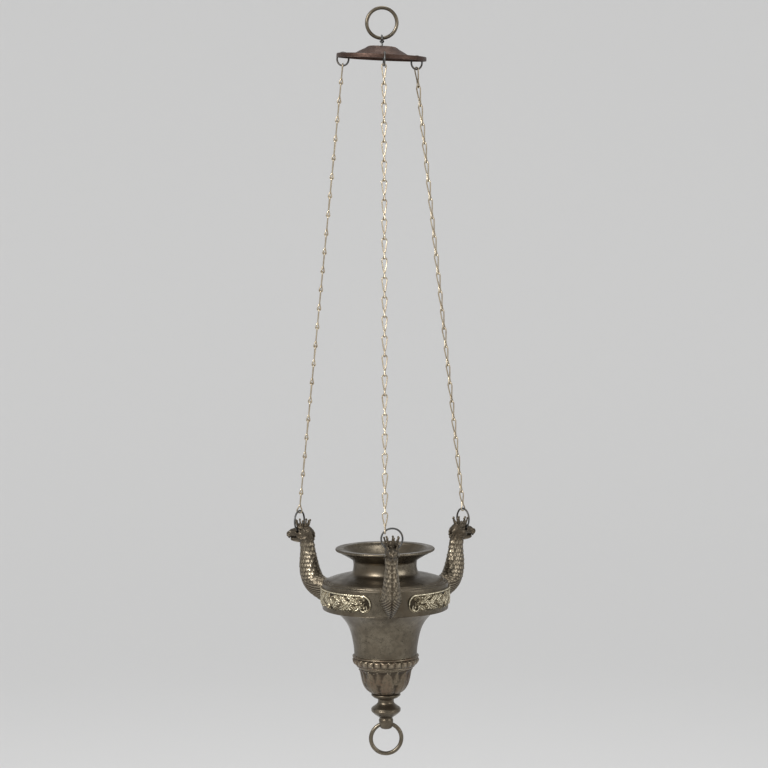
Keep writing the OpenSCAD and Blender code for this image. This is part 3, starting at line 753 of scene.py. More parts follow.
for side in SIDES:
    top, low = chain_ends(side)
    way = low - top
    bear_top = (LINK_WIRE + RING_WIRE) / 2 + HOOK_GAP
    bear_low = ((LINK_WIRE + HEAD_RING_WIRE) / 2 + HOOK_GAP) / math.cos(HOOK_TURN[side])
    span = np.linalg.norm(way)
    count = round(span / LINK_PITCH)
    pitch = (span + bear_top + bear_low - LINK_WIRE - SEAT) / count
    tilt = math.atan2(math.hypot(way[0], way[1]), -way[2])
    hang = (Matrix.Rotation(math.atan2(way[1], way[0]), 3, "Z") @ Matrix.Rotation(-tilt, 3, "Y"))
    hang = np.array(hang)
    chain_points, chain_faces = [], []
    for i in range(count):
        eye_w = LAST_EYE_W if i == count - 1 else EYE_W
        path = link_path(pitch + LINK_WIRE + SEAT, eye_w)
        points, faces = wire(path, LINK_WIRE / 2, sides=10)
        roll = math.radians(90 + np.interp(i, (0, count - 1), ROLL[side]) + shake.uniform(-5, 5))
        spin = np.array(Matrix.Rotation(roll, 3, "Z"))
        points = (points @ spin.T + (0, 0, bear_top - i * pitch)) @ hang.T + top
        chain_faces += (np.array(faces) + len(points) * i).tolist()
        chain_points.append(points)
    finished_piece(f"chain_{side}_links", np.concatenate(chain_points), chain_faces, dull_brass,
                   f"chain_{side}", f"chain_{side}", sharp=60)

# %% Head rings
for side, angle in SIDES.items():
    across = (math.sin(math.radians(angle)), -math.cos(math.radians(angle)), 0)
    ring = circle_path(middle_mm(f"head_ring_{side}"), HEAD_RING_R, across, (0, 0, 1))
    ring_points, ring_faces = wire(wavy(ring, 0.12, 2, angle), HEAD_RING_WIRE / 2, sides=14)
    finished_piece(f"head_ring_wire_{side}", ring_points, ring_faces, dark_iron, "vessel",
                   f"head_ring_{side}")

# %% [markdown]
# ## Vessel
#
# The rim, neck and shoulder are one spinning. Its outline is drawn from the rim's lip down to the
# band, then back up inside, and spun round. Fine fillets at the shoulder catch the light.

# %% Rim, neck and shoulder
lip_w = 9.5
neck_r = 38.2
waist_z = rim_z - 20.4
wall = 2.0
collar_line = outline([
    (rim_r - lip_w - 0.3, rim_z - 1.2, 0), (rim_r - lip_w + 0.5, rim_z - 0.4, 0.5),
    (rim_r - 1.0, rim_z, 0.6), (rim_r, rim_z - 0.9, 0.7), (rim_r - 0.1, rim_z - 2.5, 0.7),
    (rim_r - 1.6, rim_z - 3.5, 0.8), (rim_r - 5.6, rim_z - 4.5, 0.7), (rim_r - 7.0, rim_z - 6.2, 0.6),
    (rim_r - 8.2, rim_z - 6.4, 0.5), (neck_r + 5.2, rim_z - 11.4, 5), (neck_r, rim_z - 14.6, 5),
    (neck_r, waist_z - 4.5, 5), (neck_r + 2.6, waist_z - 11.2, 5), (band_r - 20, band_top_z + 8.2, 7),
    (band_r - 9, band_top_z + 5.2, 4), (band_r - 5.9, band_top_z + 3.8, 0.5),
    (band_r - 5.5, band_top_z + 3.1, 0.2), (band_r - 4.9, band_top_z + 3.5, 0.3),
    (band_r - 3.1, band_top_z + 2.7, 0.5), (band_r - 2.8, band_top_z + 1.7, 0.3),
    (band_r - 2.2, band_top_z + 1.9, 0.3), (band_r - 0.6, band_top_z + 1.2, 0.5),
    (band_r, band_top_z + 0.4, 0.3), (band_r, band_top_z + 0.02, 0),
    (band_r - wall - 0.1, band_top_z + 0.02, 0), (band_r - wall - 0.1, band_top_z - 5, 0.2),
    (band_r - 2 * wall, band_top_z - 5, 0.2), (band_r - 2 * wall, band_top_z, 1),
    (band_r - 11, band_top_z + 3.2, 4), (band_r - 20, band_top_z + 6.2, 7),
    (neck_r + 0.6, waist_z - 13.2, 5), (neck_r - wall, waist_z - 4.5, 4), (neck_r - wall, waist_z, 3),
    (neck_r + 0.2, rim_z - 14.1, 2), (neck_r + 3.4, rim_z - 10.4, 5),
    (rim_r - lip_w - 1.4, rim_z - 3.2, 2), (rim_r - lip_w - 0.3, rim_z - 1.2, 0)])
spun_piece("rim_and_neck", collar_line, 2.0, 240, satin_bronze, "vessel", "mouth_collar")

# %% Band
floor_r = low_mm("bell")[0] * -1 - 8
band_line = outline([
    (band_r - wall, band_top_z, 0), (band_r, band_top_z, 0.4), (band_r, band_low_z + 1.6, 0.3),
    (band_r - 0.5, band_low_z + 1.2, 0.2), (band_r - 0.5, band_low_z + 0.8, 0.2),
    (band_r - 0.1, band_low_z + 0.5, 0.2), (band_r - 0.9, band_low_z, 0.4),
    (floor_r, band_low_z, 0.2), (floor_r, band_low_z + wall, 0.2),
    (band_r - wall, band_low_z + wall, 0.5), (band_r - wall, band_top_z, 0)])
spun_piece("band_drum", band_line, 2.5, 240, satin_bronze, "vessel", "band")

# %% Bell
waist_r = 37.9
bell_line = outline([
    (bell_r - 9, band_low_z - 0.05, 0), (bell_r, band_low_z - 0.05, 0.3),
    (bell_r - 0.1, band_low_z - 1.5, 0.6), (waist_r + 15.4, band_low_z - 8.8, 8),
    (waist_r + 7.6, band_low_z - 19, 8), (waist_r + 3.4, band_low_z - 31, 9),
    (waist_r + 0.6, band_low_z - 46, 9), (waist_r, bell_low_z + 1.2, 3), (waist_r, bell_low_z, 0),
    (0, bell_low_z, 0)])
bell_inside = outline([
    (0, bell_low_z + wall, 0), (waist_r - wall, bell_low_z + wall, 1),
    (waist_r + 0.4 - wall, band_low_z - 46, 9), (waist_r + 3.2 - wall, band_low_z - 31.5, 9),
    (waist_r + 7.2 - wall, band_low_z - 20, 8), (waist_r + 14.4 - wall, band_low_z - 10, 8),
    (bell_r - 9, band_low_z - 3.6, 1), (bell_r - 9, band_low_z - 0.05, 0)])
spun_piece("bell_body", np.concatenate([bell_line, bell_inside]), 2.5, 200, satin_bronze, "vessel",
           "bell")

# %% [markdown]
# ## Beads and leaves under the bell
#
# The moulded ring has a thin fillet, a row of beads like almonds set side by side, and a second
# fillet above the cup. The cup itself is wrapped in eight upright leaves with a rib down each. It
# reaches right up to that fillet, so that no joint runs across the leaves.
# Both are still lathe work: the outline is spun, and a formula lifts the surface by angle and
# height, so the relief is real geometry.

# %% Beaded ring
BEADS = 28
bead_top_z = bell_low_z - 3.6
bead_low_z = bell_low_z - 11.6


def beads(angle, height):
    """How far the beads stand out at an angle and a height."""
    up = np.clip((height - bead_low_z) / (bead_top_z - bead_low_z), 0, 1)
    across = np.abs(np.sin(angle * BEADS / 2))
    return 1.9 * np.sqrt(np.clip(4 * up * (1 - up), 0, 1)) * np.clip(across, 0, 1) ** 0.55


ring_top_z = bell_low_z - 0.05
leaf_top_z = ring_top_z - 15.6
gadroon_r = 40.4
gadroon_line = outline([
    (0, ring_top_z, 0), (waist_r + 0.9, ring_top_z, 0.3), (gadroon_r - 0.4, ring_top_z - 0.8, 0.4),
    (gadroon_r - 0.1, ring_top_z - 1.8, 0.5), (gadroon_r - 1.0, ring_top_z - 2.7, 0.3),
    (gadroon_r - 2.0, ring_top_z - 3.2, 0.3), (gadroon_r - 1.6, ring_top_z - 6, 2),
    (gadroon_r - 3.4, ring_top_z - 11.2, 2), (gadroon_r - 5.0, ring_top_z - 12.2, 0.5),
    (gadroon_r - 4.7, ring_top_z - 13.0, 0.3), (gadroon_r - 5.4, ring_top_z - 14.2, 0.5),
    (gadroon_r - 7.4, ring_top_z - 14.8, 0.4), (gadroon_r - 7.9, leaf_top_z + 0.05, 0),
    (0, leaf_top_z + 0.05, 0)])


def bead_relief(points, raised):
    """Beads are dark at their foot and between them, with dirt and painted shade, and worn on top, with
    painted highlight; the fillets are worn all over.
    """
    height = points[..., 2]
    in_beads = (height < bead_top_z) & (height > bead_low_z)
    return np.where(in_beads, 0.1 + 0.38 * raised, 0.62)


spun_piece("beaded_ring", gadroon_line, 0.5, BEADS * 14, moulded_bronze, "vessel", "gadroon_ring",
           beads, bead_relief)

# %% Leaf cup
LEAVES = 8
LEAF_H = 1.5


def cup_leaves(angle, height):
    """The leaves on the cup: a front row with ribs and veins, and tips of a second row between."""
    up = np.clip((height - cup_low_z) / (leaf_top_z - cup_low_z), 0, 1)
    pitch = 2 * np.pi / LEAVES

    def row(shift, reach, swell):
        away = np.abs((angle + shift + pitch / 2) % pitch - pitch / 2) / (pitch / 2)
        width = swell * np.clip(1 - (up / reach) ** 2.4, 0, 1) ** 0.7 * (0.95 + 0.05 * np.cos(up * 40))
        inside = np.clip((width - away) / 0.2, 0, 1)
        rib = 0.35 * np.exp(-((away / 0.09) ** 2))
        veins = 0.12 * np.cos(away * 26 - up * 9) * (away > 0.12)
        return inside**0.7 * (0.62 + 0.38 * (1 - away)) + inside * (rib + veins)

    front = row(0.0, 0.95, 0.98)
    behind = 0.62 * row(pitch / 2, 1.0, 0.6) * (up > 0.45)
    edge = np.clip(up / 0.06, 0, 1) * np.clip((1 - up) / 0.05, 0, 1)
    return LEAF_H * np.maximum(front, behind) * edge * 0.75


collar_r = high_mm("finial")[0]
cup_line = outline([
    (0, leaf_top_z, 0), (gadroon_r - 7.9, leaf_top_z, 0), (gadroon_r - 8.1, leaf_top_z - 2, 1),
    (cup_r + 0.9, cup_top_z + 5.5, 3), (cup_r, cup_top_z, 3), (cup_r - 0.8, cup_top_z - 4, 3),
    (cup_r - 2.8, cup_top_z - 12, 5), (cup_r - 7.0, cup_top_z - 18.5, 4), (collar_r - 1.6, cup_low_z, 0),
    (0, cup_low_z, 0)])


def leaf_relief(points, raised):
    """The cup is darkened between its leaves, as dirt and painted shade, and plain on its flat end and at
    its foot.
    """
    on_axis = np.linalg.norm(points[..., :2], axis=-1) < collar_r - 3
    flat = (points[..., 2] > leaf_top_z - 0.02) | (points[..., 2] < cup_low_z + 0.02)
    return np.where(flat | on_axis, 0.5, 0.12 + 0.36 * raised)


spun_piece("leaf_cup_body", cup_line, 0.45, 320, moulded_bronze, "vessel", "leaf_cup",
           cup_leaves, leaf_relief)

# %% [markdown]
# ## Finial
#
# Collar, neck and knop are turned. Below them a short lug is drilled across for the pull ring.

# %% Finial with its drilled lug
top_z = cup_low_z - 0.05
lug_r = 8.8
knop_r = 18.0
finial_line = outline([
    (0, top_z, 0), (collar_r - 1.2, top_z, 0.3), (collar_r, top_z - 1.3, 0.9),
    (collar_r - 0.7, top_z - 3.0, 0.8), (collar_r - 2.6, top_z - 3.9, 0.6),
    (collar_r - 3.0, top_z - 4.9, 0.5), (10.6, top_z - 6.0, 1.4), (9.4, top_z - 8.8, 1.6),
    (10.0, top_z - 12.0, 1.8), (13.0, top_z - 14.6, 1.6), (knop_r - 1.0, top_z - 17.4, 1.2),
    (knop_r, top_z - 18.9, 0.4), (knop_r - 0.4, top_z - 19.7, 0.2), (knop_r, top_z - 20.4, 0.4),
    (knop_r - 0.6, top_z - 22.4, 1.2), (13.2, top_z - 26.2, 2.0), (9.4, top_z - 28.6, 1.4),
    (7.9, top_z - 30.0, 0.7), (8.0, top_z - 31.2, 0.5), (lug_r - 0.1, top_z - 32.2, 0.5),
    (lug_r, finial_low_z + 7, 3), (lug_r - 1.2, finial_low_z + 1.8, 3), (4.4, finial_low_z, 2.4),
    (0, finial_low_z, 0)])
finial = spun_piece("turned_finial", finial_line, 1.2, 144, satin_bronze, "vessel", "finial")
pull_joint = [j for j in frame["joints"] if j["name"] == "pull_ring_swing"][0]
lug_hole_z = pull_joint["pos_m"][2] / MM
LUG_HOLE_R = 4.035
cut(finial, [cutter_rod((-12, 0, lug_hole_z), (12, 0, lug_hole_z), LUG_HOLE_R)])
finial.data.set_sharp_from_angle(angle=math.radians(32))

# %% [markdown]
# ## Relief panels
#
# Each panel is a thin cast plaque, wrapped round the band between two arms. It is a field of
# heights over a flat map of the plaque: u runs along it and v runs up. Leaves, berries, scrolls
# and borders are small formulae, and the highest one at each spot wins, as if each were pressed
# into clay over the last. Where the map is empty the plaque is cut away, so it has a shaped edge.

# %% Shapes for the relief
def ridge(u, v, centre, radius, width, start, end):
    """A round ridge along part of a circle, from angle start to end in degrees."""
    du, dv = u - centre[0], v - centre[1]
    angle = np.degrees(np.arctan2(dv, du)) % 360
    on = ((angle - start) % 360) <= (end - start)
    away = np.abs(np.hypot(du, dv) - radius) / width
    return np.where(on, np.sqrt(np.clip(1 - away**2, 0, 1)), 0)


def berry(u, v, centre, radius):
    """A half ball."""
    away = np.hypot(u - centre[0], v - centre[1]) / radius
    return np.sqrt(np.clip(1 - away**2, 0, 1))


def leaf(u, v, foot, turn, length, width, lobes=4):
    """One lobed leaf from its foot, with a sunk rib and slanting veins."""
    c, s = math.cos(math.radians(turn)), math.sin(math.radians(turn))
    along = ((u - foot[0]) * c + (v - foot[1]) * s) / length
    across = ((v - foot[1]) * c - (u - foot[0]) * s) / width
    across = across - 0.35 * (along - 0.5) ** 2
    t = np.clip(along, 0, 1)
    edge = np.sin(np.pi * t**0.75) * (0.78 + 0.22 * np.abs(np.cos(np.pi * lobes * t))) + 1e-3
    body = np.clip(1 - (np.abs(across) / edge) ** 2, 0, 1) ** 0.45
    rib = 0.42 * np.exp(-((across / 0.10) ** 2))
    veins = 0.14 * np.cos(14 * np.abs(across) - 22 * t)
    inside = (along > 0) & (along < 1)
    return np.where(inside & (body > 0), body * (0.86 - rib + veins), 0)


# %% Draw the plaque
PANEL_HALF = 11.5
PANEL_SWEEP = math.radians(87)
PANEL_RISE = 2.5
END = math.degrees(PANEL_SWEEP) / 360 * math.pi * (band_r + 1.5) - PANEL_HALF + 0.4


def plaque(u, v):
    """Height of the plaque's relief, from 0 to 1, and where the plaque is solid."""
    mirror = np.abs(u)
    height = np.zeros_like(u)

    def lay(shape, scale=1.0):
        nonlocal height
        height = np.maximum(height, shape * scale)

    border = np.sqrt(np.clip(1 - ((v - 10.0) / 1.25) ** 2, 0, 1)) * (mirror < END)
    lay(border, 0.92 + 0.08 * np.cos(u * 1.9))
    lay(ridge(mirror, v, (END, 0), 10.0, 1.3, 352, 450), 0.95)
    lay(ridge(mirror, v, (END + 0.4, -0.6), 9.6, 1.0, 284, 352), 0.55)
    lay(ridge(mirror, v, (END + 1.5, -4.4), 4.2, 1.1, 150, 400), 0.85)
    lay(berry(mirror, v, (END + 2.2, -4.2), 2.1), 0.8)
    lay(ridge(mirror, v, (END - 0.5, 4.6), 3.6, 1.0, 20, 280), 0.75)
    stem = 3.4 * np.sin(mirror / END * 3 * np.pi + 0.5)
    lay(np.sqrt(np.clip(1 - ((v - stem) / 0.9) ** 2, 0, 1)) * (mirror < END), 0.6)
    for foot, turn, length, width in (
        ((3.5, -7.5), 42, 19, 4.6), ((5.0, 8.0), -28, 16, 3.8), ((14.0, -8.2), 24, 17, 3.8),
        ((16.5, 8.2), -44, 17, 4.2), ((25.0, -8.6), 50, 18, 4.4), ((27.5, 8.6), -22, 15, 3.6),
        ((36.0, -8.4), 36, 13, 3.6), ((20.0, -1.0), 12, 14, 3.0), ((33.0, 2.2), -8, 12, 2.8),
    ):
        lay(leaf(mirror, v, foot, turn, length, width))
    for centre, radius in (((11.8, 1.0), 1.7), ((14.6, -1.6), 1.4), ((23.6, 5.0), 1.5), ((26.4, 2.6), 1.3),
                           ((31.6, -6.6), 1.6), ((34.2, -4.2), 1.3), ((10.2, -9.2), 1.3),
                           ((22.0, -8.8), 1.3),
                           ((41.0, 0.4), 1.8), ((40.2, 6.6), 1.4), ((9.4, 6.6), 1.2)):
        lay(berry(mirror, v, centre, radius), 0.95)
    # small leaves and berries fill the gaps, scattered the same way each time
    scatter = np.random.default_rng(11)
    for _ in range(52):
        foot = (scatter.uniform(2, END + 3), scatter.uniform(-10.4, 7.0))
        lay(leaf(mirror, v, foot, scatter.uniform(10, 80), scatter.uniform(5, 8.5),
                 scatter.uniform(1.5, 2.4), 3), scatter.uniform(0.55, 0.95))
    for _ in range(34):
        lay(berry(mirror, v, (scatter.uniform(2, END + 4), scatter.uniform(-10, 9)),
                  scatter.uniform(0.6, 1.1)), scatter.uniform(0.6, 0.95))
    round_angle = np.arctan2(v, u)
    distance = np.hypot(u, v)
    petals = np.clip(1 - (distance / (5.4 + 1.3 * np.abs(np.cos(4 * round_angle)))) ** 2, 0, 1) ** 0.5
    lay(petals * (0.55 + 0.4 * np.abs(np.cos(4 * round_angle))))
    lay(berry(u, v, (0, 0), 2.1), 1.0)
    foot_edge = 9.6 + 0.7 * np.sin(mirror * 1.1) + 0.5 * np.sin(mirror * 2.7 + 1)
    solid = (mirror < END) & (v < PANEL_HALF - 0.3) & (v > -foot_edge)
    solid |= (np.hypot(mirror - END, v) < 11.1) & ((v > -foot_edge) | (mirror > END))
    ground = 0.16 + 0.03 * np.sin(u * 2.3) * np.sin(v * 2.9)
    return np.where(solid, np.maximum(height, ground), 0), solid


def panel_mesh(middle):
    """Points, faces and relief of one plaque round the band, with its middle in one direction."""
    radius = band_r + 0.05
    columns, rows = 400, 76
    length = PANEL_SWEEP * (band_r + 1.5)
    u, v = np.meshgrid(np.linspace(-length / 2, length / 2, columns),
                       np.linspace(-PANEL_HALF, PANEL_HALF, rows), indexing="ij")
    height, solid = plaque(u, v)
    angle = math.radians(middle) + u / (band_r + 1.5)
    level = (band_top_z + band_low_z) / 2 + 0.5 + v
    shells = []
    for out in (radius + 0.25 + (PANEL_RISE - 0.25) * height, np.full_like(height, radius)):
        shells.append(np.stack([out * np.cos(angle), out * np.sin(angle), level], axis=-1))
    cell = solid[:-1, :-1] & solid[1:, :-1] & solid[:-1, 1:] & solid[1:, 1:]
    quads = grid_faces(columns, rows)[cell.ravel()]
    back = quads[:, ::-1] + columns * rows
    edges = {}
    for quad in quads:
        for a, b in zip(quad, np.roll(quad, -1)):
            edges[(a, b)] = edges.pop((b, a), None) is None and 1 or None
    rim = [(a, b) for (a, b), n in edges.items() if n]
    walls = [(b, a, a + columns * rows, b + columns * rows) for a, b in rim]
    points = np.concatenate([s.reshape(-1, 3) for s in shells])
    faces = np.concatenate([quads, back, np.array(walls)])
    used = np.unique(faces)
    renumber = np.zeros(len(points), int)
    renumber[used] = np.arange(len(used))
    # the relief value is the plaque's height, so the low ground between the leaves takes dirt and painted
    # shade, and the high leaves and berries take wear and painted highlight
    relief = np.concatenate([height.ravel(), np.zeros(height.size)])
    return points[used], renumber[faces], relief[used]


for name, middle in (("relief_front_left", -150), ("relief_front_right", -30), ("relief_back", 90)):
    points, faces, relief = panel_mesh(middle)
    finished_piece(name + "_plaque", points, faces, rubbed_and_highlit_bronze, "vessel", name,
                   relief=relief, sharp=70)

# %% [markdown]
# ## Bird arms
#
# Each arm is a bird's neck and crowned head, cast in one piece. It is built as a sculptor would:
# rough volumes first (neck, skull, beak, crown, tufts), then one skin over all of them with a
# voxel remesh, then the feathers pressed into that skin. The three arms come from one mould, so
# the mesh is made once and turned into place three times.

# %% Rough volumes of the arm
def place_z(height):
    """Heights on the arm are given below the rim's level."""
    return rim_z + height


# outer point, inner point, half width across, and how much the outer side narrows
NECK = [
    ((115.0, 10.0), (100.4, 11.5), 7.2, 0.0), ((115.4, 3.5), (98.6, 4.5), 7.6, 0.0),
    ((115.0, -3.0), (97.0, -2.0), 7.2, 0.0),
    ((114.7, -7.5), (96.0, -7.0), 6.7, 0.0), ((115.0, -13.0), (94.9, -12.5), 7.4, 0.0),
    ((115.9, -22.5), (92.9, -20.5), 8.4, 0.05), ((116.0, -32.0), (90.3, -30.0), 9.5, 0.1),
    ((114.2, -42.5), (86.8, -38.6), 10.9, 0.15), ((110.4, -52.0), (83.0, -41.9), 12.0, 0.22),
    ((104.2, -59.6), (79.6, -42.6), 12.3, 0.3), ((96.4, -65.2), (77.2, -42.9), 11.9, 0.38),
    ((88.0, -69.8), (75.6, -43.0), 11.3, 0.45), ((79.5, -73.2), (74.0, -43.2), 10.8, 0.5)]


def loft(rings):
    """Join closed rings of points, with both ends filled."""
    count, around = len(rings), len(rings[0])
    faces = grid_faces(count, around, close_columns=True).tolist()
    faces += [list(range(around))[::-1], list(range((count - 1) * around, count * around))]
    return np.concatenate(rings), faces


def smooth_rows(rows, steps):
    """A Catmull-Rom line through rows of numbers."""
    rows = np.asarray(rows, float)
    padded = np.concatenate([[2 * rows[0] - rows[1]], rows, [2 * rows[-1] - rows[-2]]])
    made = []
    for a, b, c, d in zip(padded, padded[1:], padded[2:], padded[3:]):
        for t in np.arange(steps) / steps:
            made.append(0.5 * (2 * b + (c - a) * t + (2 * a - 5 * b + 4 * c - d) * t**2
                               + (3 * b - a - 3 * c + d) * t**3))
    return np.array(made + [rows[-1]])


neck_rows = smooth_rows([(*outer, *inner, half, egg) for outer, inner, half, egg in NECK], 5)


def neck_volume():
    """The neck: tilted egg-shaped rings from the head down to the band."""
    turn = np.linspace(0, 2 * np.pi, 48, endpoint=False)
    rings = []
    for ox, oz, ix, iz, half, egg in neck_rows:
        centre = np.array(((ox + ix) / 2, 0, place_z((oz + iz) / 2)))
        out = np.array(((ox - ix) / 2, 0, (oz - iz) / 2))
        ring = centre + np.outer(np.cos(turn), out)
        ring[:, 1] += half * np.sin(turn) * (1 - egg * np.cos(turn))
        rings.append(ring)
    return loft(rings)


def horn(path, radii, flat=1.0):
    """A tapering rod through points (x, y, height), with round ends. flat squeezes it sideways."""
    path = smooth_rows([(x, y, place_z(h)) for x, y, h in path], 5)
    radii = np.interp(np.linspace(0, 1, len(path)), np.linspace(0, 1, len(radii)), radii)
    ends = []
    for point, other, radius in ((path[0], path[1], radii[0]), (path[-1], path[-2], radii[-1])):
        back = (point - other) / np.linalg.norm(point - other)
        caps = [(point + back * radius * math.sin(a), radius * math.cos(a)) for a in (0.5, 1.0, 1.4)]
        ends.append(caps)
    full = [p for p, _ in ends[0][::-1]] + list(path) + [p for p, _ in ends[1]]
    sizes = [r for _, r in ends[0][::-1]] + list(radii) + [r for _, r in ends[1]]
    points, faces = wire(full, np.array(sizes), sides=20, closed=False)
    middle_y = np.repeat(np.array(full)[:, 1], 20)
    points[:, 1] = middle_y + (points[:, 1] - middle_y) * flat
    return points, faces


def ball(centre, radii):
    """A ball squeezed to three radii."""
    turn = np.linspace(-np.pi / 2, np.pi / 2, 17)[1:-1]
    line = np.stack([np.cos(turn), np.sin(turn)], axis=1)
    points, _ = spun(line, 28)
    rings = [ring * np.array(radii) + (centre[0], centre[1], place_z(centre[2])) for ring in points]
    return loft(rings)


head_hole_z = middle_mm("head_ring_front")[2] - HEAD_RING_R
head_hole_x = -middle_mm("head_ring_front")[1]
hole_up = head_hole_z - rim_z
skull_x = head_hole_x - 8
CROWN_SPIKES = 7


def head_volumes():
    """Skull, beak, jaw, brows, tufts and crown."""
    parts = [
        ball((skull_x - 0.6, 0, hole_up - 1.2), (9.4, 7.9, 8.6)),
        ball((skull_x + 4.2, 0, hole_up - 3.8), (8.6, 8.2, 6.6)),
        horn([(skull_x + 2, 0, hole_up - 1.4), (skull_x + 11, 0, hole_up - 2.0),
              (skull_x + 17, 0, hole_up - 2.6), (skull_x + 21.2, 0, hole_up - 4.4)],
             (6.8, 5.6, 4.8, 4.3), 0.95),
        horn([(skull_x + 21.4, 0, hole_up - 3.6), (skull_x + 23.4, 0, hole_up - 6.0),
              (skull_x + 22.6, 0, hole_up - 8.6)], (3.6, 2.8, 1.3), 0.85),
        horn([(skull_x + 3, 0, hole_up - 9.0), (skull_x + 12, 0, hole_up - 10.6),
              (skull_x + 18.4, 0, hole_up - 10.3)], (4.9, 3.2, 2.2), 1.0),
    ]
    for sign in (1, -1):
        curl = [(skull_x + 20.6 + 2.6 * math.cos(a), sign * 3.9, hole_up - 3.6 + 2.6 * math.sin(a))
                for a in np.linspace(-2.2, 3.2, 9)]
        parts.append(horn(curl, (0.9, 0.9, 0.7)))
        parts.append(ball((skull_x + 20.6, sign * 3.8, hole_up - 3.6), (1.1, 1.1, 1.1)))
        eye_middle = (head_hole_x, sign * 5.7, head_hole_z)
        parts.append(wire(circle_path(eye_middle, 3.0, (1, 0, 0), (0, 0, 1), 40), 1.05))
        brow = [(skull_x + 14.5, sign * 4.6, hole_up + 1.4), (skull_x + 9.5, sign * 6.4, hole_up + 4.4),
                (skull_x + 3.5, sign * 7.2, hole_up + 4.8), (skull_x - 2, sign * 6.4, hole_up + 2.6)]
        parts.append(horn(brow, (0.9, 1.3, 1.4, 0.7)))
        for k, (drop, back) in enumerate(((5.4, 11.6), (9.0, 10.2), (1.4, 10.8))):
            tuft = [(skull_x - 2.0, sign * (4.6 + k), hole_up + 3.4 - k),
                    (skull_x - 7.2, sign * (4.8 - 0.6 * k), hole_up + 1.2 - drop * 0.3),
                    (skull_x - back, sign * (3.0 + k * 0.5), hole_up - drop - 1.2)]
            parts.append(horn(tuft, (1.9, 2.1, 0.8), 0.9))
        cheek = [(skull_x + 8, sign * 6.8, hole_up - 6.8), (skull_x + 2, sign * 7.8, hole_up - 8.6),
                 (skull_x - 4, sign * 7.0, hole_up - 8.0)]
        parts.append(horn(cheek, (1.0, 1.6, 0.7)))
    parts.append(horn([(skull_x + 9.5, 0, hole_up + 2.8), (skull_x + 14.5, 0, hole_up + 2.4),
                       (skull_x + 20, 0, hole_up + 0.4)], (1.3, 1.1, 1.4)))
    crown_x = skull_x + 3.4
    crown_foot = hole_up + 4.2
    foot_middle = (crown_x, 0, place_z(crown_foot + 0.9))
    parts.append(wire(circle_path(foot_middle, 5.9, (1, 0, 0), (0, 1, 0), 48), 1.3))
    parts.append(ball((crown_x, 0, crown_foot), (6.2, 5.9, 3.4)))
    parts.append(ball((crown_x - 3, 0, crown_foot - 2.5), (6.4, 6.4, 4.2)))

    def spike(angle, reach, tall, thick):
        c, s = math.cos(angle), math.sin(angle)
        steps = ((5.7, 0.6), (0.45 * 5.7 + 0.55 * reach, 0.55 * tall), (reach, tall))
        path = [(crown_x + r * c, 0.96 * r * s, crown_foot + up) for r, up in steps]
        parts.append(horn(path, (thick, 0.75 * thick, 0.8)))
        return path[-1]

    for k in range(CROWN_SPIKES):
        angle = 2 * math.pi * (k + 0.25) / CROWN_SPIKES
        tip = spike(angle, 9.2, 8.4, 1.9)
        parts.append(ball((tip[0], tip[1], tip[2] + 0.8), (1.4, 1.4, 1.4)))
        spike(angle + math.pi / CROWN_SPIKES, 7.0, 4.4, 1.6)
    return parts


# %% One skin over the volumes
def one_skin(parts, voxel):
    """Join closed volumes into a single even skin, lightly smoothed."""
    points, faces, count = [], [], 0
    for part_points, part_faces in parts:
        points.append(part_points)
        faces += [[i + count for i in face] for face in part_faces]
        count += len(part_points)
    mesh = bpy.data.meshes.new("rough_arm")
    mesh.from_pydata((np.concatenate(points) * MM).tolist(), [], faces)
    work = bmesh.new()
    work.from_mesh(mesh)
    bmesh.ops.recalc_face_normals(work, faces=work.faces)
    work.to_mesh(mesh)
    work.free()
    rough = bpy.data.objects.new("rough_arm", mesh)
    bpy.context.scene.collection.objects.link(rough)
    skin = rough.modifiers.new("skin", "REMESH")
    skin.mode = "VOXEL"
    skin.voxel_size = voxel * MM
    ease = rough.modifiers.new("ease", "SMOOTH")
    ease.factor = 0.5
    ease.iterations = 2
    made = bpy.data.meshes.new_from_object(rough.evaluated_get(bpy.context.evaluated_depsgraph_get()))
    bpy.data.objects.remove(rough)
    return made


arm_mesh = one_skin([neck_volume()] + head_volumes(), 0.5)
print("arm skin points:", len(arm_mesh.vertices))

# %% [markdown]
# Feathers are laid out like roof tiles. A point on the neck is described by how far down the neck
# it lies and by its direction round the neck. In each cell the tile above hangs over the one below
# with a round tip, so every tile rises towards its tip and then drops to the next.

# %% Press feathers into the skin
FEATHERS_ROUND = 15
FEATHER_LENGTH = 5.2
FEATHER_RISE = 1.0


def along_neck(points):
    """Distance down the neck and direction round it, for points of the arm."""
    centre = np.stack([(neck_rows[:, 0] + neck_rows[:, 2]) / 2,
                       place_z((neck_rows[:, 1] + neck_rows[:, 3]) / 2)], axis=1)
    out = np.stack([neck_rows[:, 0] - neck_rows[:, 2], neck_rows[:, 1] - neck_rows[:, 3]], axis=1)
    out /= np.linalg.norm(out, axis=1, keepdims=True)
    outer = np.stack([neck_rows[:, 0], place_z(neck_rows[:, 1])], axis=1)
    run = np.concatenate([[0], np.cumsum(np.linalg.norm(np.diff(outer, axis=0), axis=1))])
    flat = points[:, (0, 2)]
    best = np.full(len(points), 1e9)
    down = np.zeros(len(points))
    side = np.zeros(len(points))
    down_way = np.stack([out[:, 1], -out[:, 0]], axis=1)
    for k in range(len(centre)):
        offset = flat - centre[k]
        off_plane = np.abs(offset @ down_way[k]) + 0.1 * np.linalg.norm(offset, axis=1)
        nearer = off_plane < best
        best = np.where(nearer, off_plane, best)
        down = np.where(nearer, run[k] + offset @ down_way[k], down)
        side = np.where(nearer, offset @ out[k], side)
    return down, np.arctan2(points[:, 1], side)


